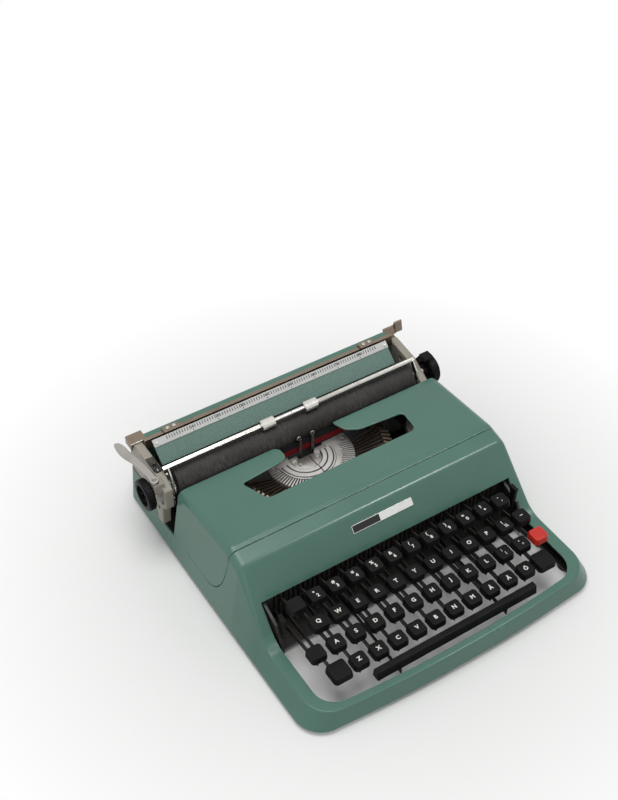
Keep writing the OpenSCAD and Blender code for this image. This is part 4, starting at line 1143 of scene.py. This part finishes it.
class TYPEWRITER_OT_paper_table(bpy.types.Operator):
    """Paper table and its scale with marks and numbers"""

    bl_idname = "typewriter.paper_table"
    bl_label = "Paper table"

    def execute(self, context):
        dressed("paper_table", 0.4 * MM)
        dressed("scale_strip", 0.2 * MM)
        low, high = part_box("scale_strip")
        centre, normal = flat_side("scale_strip", Vector((0, -0.7, 0.7)))
        marks = bmesh.new()
        rise = sizes().legend_rise
        pitch = sizes().scale_pitch
        count = int((high.x - low.x - UNMARKED) / pitch)
        start = -count * pitch / 2
        for i in range(count + 1):
            x = start + i * pitch
            numbered = i % 10 == 0 and 0 < i < count
            if numbered:
                lettering(marks, str(i), 2.5 * MM, lying_on(centre, normal, (x, 1.0 * MM, rise / 2)))
            half, foot, head = [size * MM for size in (NUMBER_STUB if numbered else SCALE_MARK)]
            block(marks, (x - half, foot, 0.0), (x + half, head, rise), lying_on(centre, normal))
        piece("scale_marks", marks, "scale_ink", "carriage", weighted=False)
        heads = bmesh.new()
        for x in (low.x + 3.0 * MM - centre.x, high.x - 3.0 * MM - centre.x):
            screw(heads, 1.7 * MM, 0.9 * MM, lying_on(centre, normal, (x, 0.0, 0.0)), x * 40)
        piece("scale_screws", heads, "bright_steel", "carriage")
        return {"FINISHED"}


class TYPEWRITER_OT_platen(bpy.types.Operator):
    """Platen roller, its shaft and knobs, and the feed roller"""

    bl_idname = "typewriter.platen"
    bl_label = "Platen"

    def execute(self, context):
        low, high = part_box("platen_roller")
        y, z = axis_of("platen_roller")
        radius = (high.y - low.y) / 2
        roller = bmesh.new()
        edge = 0.6 * MM
        outline = [
            (low.x, 5.0 * MM), (low.x, radius - edge), (low.x + edge, radius), (low.x + 20 * MM, radius),
            (high.x - 20 * MM, radius), (high.x - edge, radius), (high.x, radius - edge), (high.x, 5.0 * MM),
            (low.x, 5.0 * MM),
        ]
        turned(roller, outline, 96, y, z)
        piece("platen_rubber", roller, "platen_rubber", "platen", "platen_roller")
        dressed("platen_shaft", 0.2 * MM)
        dressed("feed_roller", 0.4 * MM)
        for node, side in (("knob_left", -1), ("knob_right", 1)):
            self.knob(node, side)
        low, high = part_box("knob_right")
        collar = bmesh.new()
        turned(collar, [(low.x - x * MM, r * MM) for x, r in ((3.6, 3.6), (3.6, 5.6), (0.0, 6.2))], 40, y, z)
        piece("knob_collar", collar, "black_plastic", "platen", weighted=False)
        return {"FINISHED"}

    def knob(self, node, side):
        """A ridged knob with a recessed, notched middle."""
        low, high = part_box(node)
        y, z = axis_of(node)
        r = (high.z - low.z) / 2
        outer, inner = (low.x, high.x) if side < 0 else (high.x, low.x)
        into = -side * MM
        recess = outer + into * 4.0
        bm = bmesh.new()
        outline = [
            (inner, 4.0 * MM), (inner, r - 1.2 * MM), (inner - into * 1.0, r - 0.2 * MM),
            (outer + into * 1.2, r - 0.2 * MM), (outer + into * 0.3, r - 0.9 * MM), (outer, r - 1.6 * MM),
            (outer, r - 4.6 * MM), (outer + into * 0.4, r - 5.0 * MM), (recess, r - 5.2 * MM),
            (recess, 4.0 * MM), (inner, 4.0 * MM),
        ]
        turned(bm, outline, sizes().knurl_count * 2, y, z)

        def turn(face):
            """Where a face lies round the axis."""
            middle = face.calc_center_median()
            return math.atan2(middle.z - z, middle.y - y)

        def off_axis(face):
            """How far a face lies from the axis."""
            middle = face.calc_center_median()
            return math.hypot(middle.y - y, middle.z - z)

        rim = [face for face in bm.faces if abs(face.normal.x) < 0.1 and off_axis(face) > r - MM]
        rim.sort(key=turn)
        grooves = {"thickness": 0.12 * MM, "depth": -0.55 * MM}
        bmesh.ops.inset_individual(bm, faces=rim[::2], use_even_offset=True, **grooves)
        ends = [face for face in bm.faces if abs(face.normal.x) > 0.9]
        floor = [face for face in ends if abs(face.calc_center_median().x - recess) < 0.05 * MM]
        floor.sort(key=turn)
        notched = [face for i, face in enumerate(floor) if i % 11 < 4]
        bmesh.ops.inset_region(bm, faces=notched, thickness=0.3 * MM, depth=1.6 * MM, use_even_offset=True)
        piece(node + "_moulded", bm, SLOT_OF[node], BODY_OF[node], node, flat=35.0, weighted=False)


FLUTES = 14
BAR_DEPTH = 1.8 * MM
BAR_HEIGHT = 2.05 * MM
BAR_TILT = math.radians(22.0)


class TYPEWRITER_OT_bail(bpy.types.Operator):
    """Paper bail: flat bar on the left, knurled on the right, with two rollers"""

    bl_idname = "typewriter.bail"
    bl_label = "Paper bail"

    def execute(self, context):
        dressed("paper_bail", 0.3 * MM)
        rollers = islands("bail_rollers")
        (left, _), (_, right) = rollers[0], rollers[-1]
        y, z = (left.y + right.y) / 2, (left.z + right.z) / 2
        low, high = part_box("paper_bail")
        bm = bmesh.new()
        for start, end in rollers:
            outline = [
                (start.x, 2.1 * MM), (start.x, 4.2 * MM), (start.x + 0.6 * MM, 5.0 * MM),
                (end.x - 0.6 * MM, 5.0 * MM), (end.x, 4.2 * MM), (end.x, 2.1 * MM), (start.x, 2.1 * MM),
            ]
            turned(bm, outline, FLUTES, y, z)
        piece("bail_rollers_fluted", bm, "chrome", "bail_wheels", "bail_rollers", flat=20.0, weighted=False)
        flat = bmesh.new()
        block(flat, (low.x + 2.5 * MM, -BAR_DEPTH, -BAR_HEIGHT), (left.x - 0.6 * MM, BAR_DEPTH, BAR_HEIGHT))
        bmesh.ops.rotate(flat, verts=flat.verts, cent=(0, 0, 0), matrix=Matrix.Rotation(BAR_TILT, 3, "X"))
        bmesh.ops.translate(flat, verts=flat.verts, vec=(0, y, z))
        soften(flat, 0.5 * MM)
        piece("bail_flat_bar", flat, "chrome", "bail")
        knurl = bmesh.new()
        count = int((high.x - right.x - 5.0 * MM) / (1.5 * MM))
        ridges = [(right.x + (0.75 * i + 1.0) * MM, (2.45 if i % 2 else 2.05) * MM) for i in range(2 * count)]
        turned(knurl, ridges, FLUTES, y, z)
        piece("bail_knurl", knurl, "chrome", "bail", flat=20.0, weighted=False)
        return {"FINISHED"}


# The four sides of the plate round the selector in millimetres: left, front, right, rear
SELECTOR_SIDES = ((-3, -9, 3, -4.4), (-3, 4.4, 3, 9), (-3, -4.4, -2.1, 4.4), (2.1, -4.4, 3, 4.4))


class TYPEWRITER_OT_levers(bpy.types.Operator):
    """Line-space lever, release levers and line-space selector"""

    bl_idname = "typewriter.levers"
    bl_label = "Carriage levers"

    def execute(self, context):
        dressed("return_lever", 0.5 * MM, 3, slot="nickel")
        # The brown of the end plate and release lever is a painted reflection of beige surroundings in their
        # chrome.
        for node in ("end_plate_left", "paper_release_lever"):
            dressed(node, 0.35 * MM, slot="tarnished_steel")
        for node in ("carriage_release_lever", "line_space_selector"):
            dressed(node, 0.5 * MM)
        self.selector_plate()
        # A bright chrome strip along the plate's upper front edge: the plate's own chrome, shown there as a
        # painted highlight line.
        low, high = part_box("end_plate_left")
        edge = bmesh.new()
        block(edge, (low.x, low.y - 0.5 * MM, high.z - 1.6 * MM), (high.x, low.y + 0.1 * MM, high.z))
        soften(edge, 0.2 * MM)
        piece("end_plate_edge", edge, "chrome", "carriage")
        return {"FINISHED"}

    def selector_plate(self):
        """A dark plate with marks round the line-space selector."""
        low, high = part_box("line_space_selector")
        y, top = (low.y + high.y) / 2, high.z - 0.2 * MM
        x = (low.x + high.x) / 2
        plate, marks = bmesh.new(), bmesh.new()
        for left, front, right, rear in SELECTOR_SIDES:
            foot = (x + left * MM, y + front * MM, top - 1.4 * MM)
            block(plate, foot, (x + right * MM, y + rear * MM, top))
        piece("selector_plate", plate, "plate_metal", "carriage")
        for sign, place in (("1", -6.7), ("2", 6.7)):
            lettering(marks, sign, 2.4 * MM, Matrix.Translation((x, y + place * MM, top)))
        piece("selector_marks", marks, "legend_paint", "carriage", weighted=False)


# Lamps in metres: place, height they aim at, width, height and power, and whether only reflections show them
LAMPS = {
    "top light": ((-0.15, 0.1, 1.9), 0.05, 1.1, 1.1, 18.0, False),
    "ridge light": ((0.93, -0.55, 1.85), 0.05, 0.3, 0.3, 12.0, True),
    "left light": ((-1.5, -0.3, 1.0), 0.03, 1.0, 1.2, 1.0, False),
    "front light": ((-0.9, -1.5, 1.0), 0.05, 1.0, 0.8, 1.5, False),
}
CAMERA_PLACE = (-0.4262, -0.600, 0.870)
CAMERA_TARGET = (0.0460, 0.1392, 0.040)
SENSOR_MM = 36.0
LENS_MM = 56.25
WHITE = (1.0, 1.0, 1.0, 1.0)


def seen_rays(tree):
    """One for rays that come from the camera, from a mirror or through glass."""
    path = add(tree, "ShaderNodeLightPath").outputs
    first = maths(tree, "MAXIMUM", path["Is Camera Ray"], path["Is Glossy Ray"])
    return maths(tree, "MAXIMUM", first, path["Is Transmission Ray"])


def aimed(name, data, place, target):
    """A new lamp or camera in its place, looking at a target."""
    obj = as_object(name, data)
    obj.location = place
    obj.rotation_euler = (Vector(target) - Vector(place)).to_track_quat("-Z", "Y").to_euler()
    return obj


class TYPEWRITER_OT_stage(bpy.types.Operator):
    """Pale floor, soft studio light and the camera"""

    bl_idname = "typewriter.stage"
    bl_label = "Stage"

    def execute(self, context):
        bm = bmesh.new()
        bmesh.ops.create_grid(bm, x_segments=1, y_segments=1, size=4.0)
        floor = as_object("floor", as_mesh(bm, "floor"))
        floor.data.materials.append(self.floor_finish())
        self.world(context.scene)
        for name, settings in LAMPS.items():
            self.lamp(name, *settings)
        self.camera(context.scene)
        return {"FINISHED"}

    def floor_finish(self):
        """A pale matt floor that goes over to plain white away from the machine."""
        material, tree, shader, place = start_finish("pale_floor")
        patina = grouped(tree, "Patina", place, 3.0)
        tone = blended(tree, patina, shade(colours().floor, 0.99), shade(colours().floor, 1.01))
        feed(tree, shader, {"Base Color": tone, "Roughness": 0.9, "Specular IOR Level": 0.1})
        glow = add(tree, "ShaderNodeEmission", {"Color": WHITE, "Strength": 1.0}).outputs["Emission"]
        away = add(tree, "ShaderNodeVectorMath", {0: place, 1: (0.0, 0.0, 0.0)}, operation="DISTANCE")
        seen = times(tree, seen_rays(tree), ranged(tree, away.outputs["Value"], 0.17, 0.37))
        mixed = add(tree, "ShaderNodeMixShader", {0: seen, 1: shader.outputs["BSDF"], 2: glow})
        tree.links.new(mixed.outputs["Shader"], tree.nodes["Material Output"].inputs["Surface"])
        return material

    def world(self, scene):
        """Even soft light, with a white backdrop for the camera and in reflections."""
        scene.world = bpy.data.worlds.new("studio")
        scene.world.use_nodes = True
        tree = scene.world.node_tree
        strength = ranged(tree, seen_rays(tree), 0.0, 1.0, 0.42, 1.0)
        feed(tree, tree.nodes["Background"], {"Color": WHITE, "Strength": strength})

    def lamp(self, name, place, aim, width, height, power, gleam):
        """A soft rectangular lamp over the machine; a gleam shows only in reflections."""
        light = bpy.data.lights.new(name, "AREA")
        light.shape = "RECTANGLE"
        light.size = width
        light.size_y = height
        light.energy = power
        aimed(name, light, place, (0.0, 0.0, aim)).visible_diffuse = not gleam

    def camera(self, scene):
        """The photograph's view: from the front left, above."""
        data = bpy.data.cameras.new("camera")
        data.sensor_fit = "VERTICAL"
        data.sensor_width = data.sensor_height = SENSOR_MM
        data.lens = LENS_MM
        scene.camera = aimed("camera", data, CAMERA_PLACE, CAMERA_TARGET)
        scene.view_settings.view_transform = "Standard"


OPERATORS = (
    TYPEWRITER_OT_case,
    TYPEWRITER_OT_chassis,
    TYPEWRITER_OT_type_basket,
    TYPEWRITER_OT_ribbon,
    TYPEWRITER_OT_keyboard,
    TYPEWRITER_OT_carriage,
    TYPEWRITER_OT_paper_table,
    TYPEWRITER_OT_platen,
    TYPEWRITER_OT_bail,
    TYPEWRITER_OT_levers,
    TYPEWRITER_OT_stage,
)


class TYPEWRITER_PT_panel(bpy.types.Panel):
    """Lists the typewriter's pieces, colours and sizes"""

    bl_idname = "TYPEWRITER_PT_panel"
    bl_label = "Typewriter"
    bl_space_type = "VIEW_3D"
    bl_region_type = "UI"
    bl_category = "Typewriter"

    def draw(self, context):
        for operator in OPERATORS:
            self.layout.operator(operator.bl_idname)
        for group in (context.scene.typewriter_colours, context.scene.typewriter_sizes):
            column = self.layout.column()
            for name in group.bl_rna.properties.keys():
                if name not in ("rna_type", "name"):
                    column.prop(group, name)


CLASSES = (TypewriterColours, TypewriterSizes, *OPERATORS, TYPEWRITER_PT_panel)


def register():
    """Registers the classes and the settings on the scene."""
    for cls in CLASSES:
        bpy.utils.register_class(cls)
    bpy.types.Scene.typewriter_colours = PointerProperty(type=TypewriterColours)
    bpy.types.Scene.typewriter_sizes = PointerProperty(type=TypewriterSizes)


def unregister():
    """Removes the settings and the classes."""
    del bpy.types.Scene.typewriter_sizes
    del bpy.types.Scene.typewriter_colours
    for cls in reversed(CLASSES):
        bpy.utils.unregister_class(cls)


def main():
    """Builds every piece in order."""
    register()
    for operator in OPERATORS:
        family, name = operator.bl_idname.split(".")
        getattr(getattr(bpy.ops, family), name)()


if __name__ == "__main__":
    main()
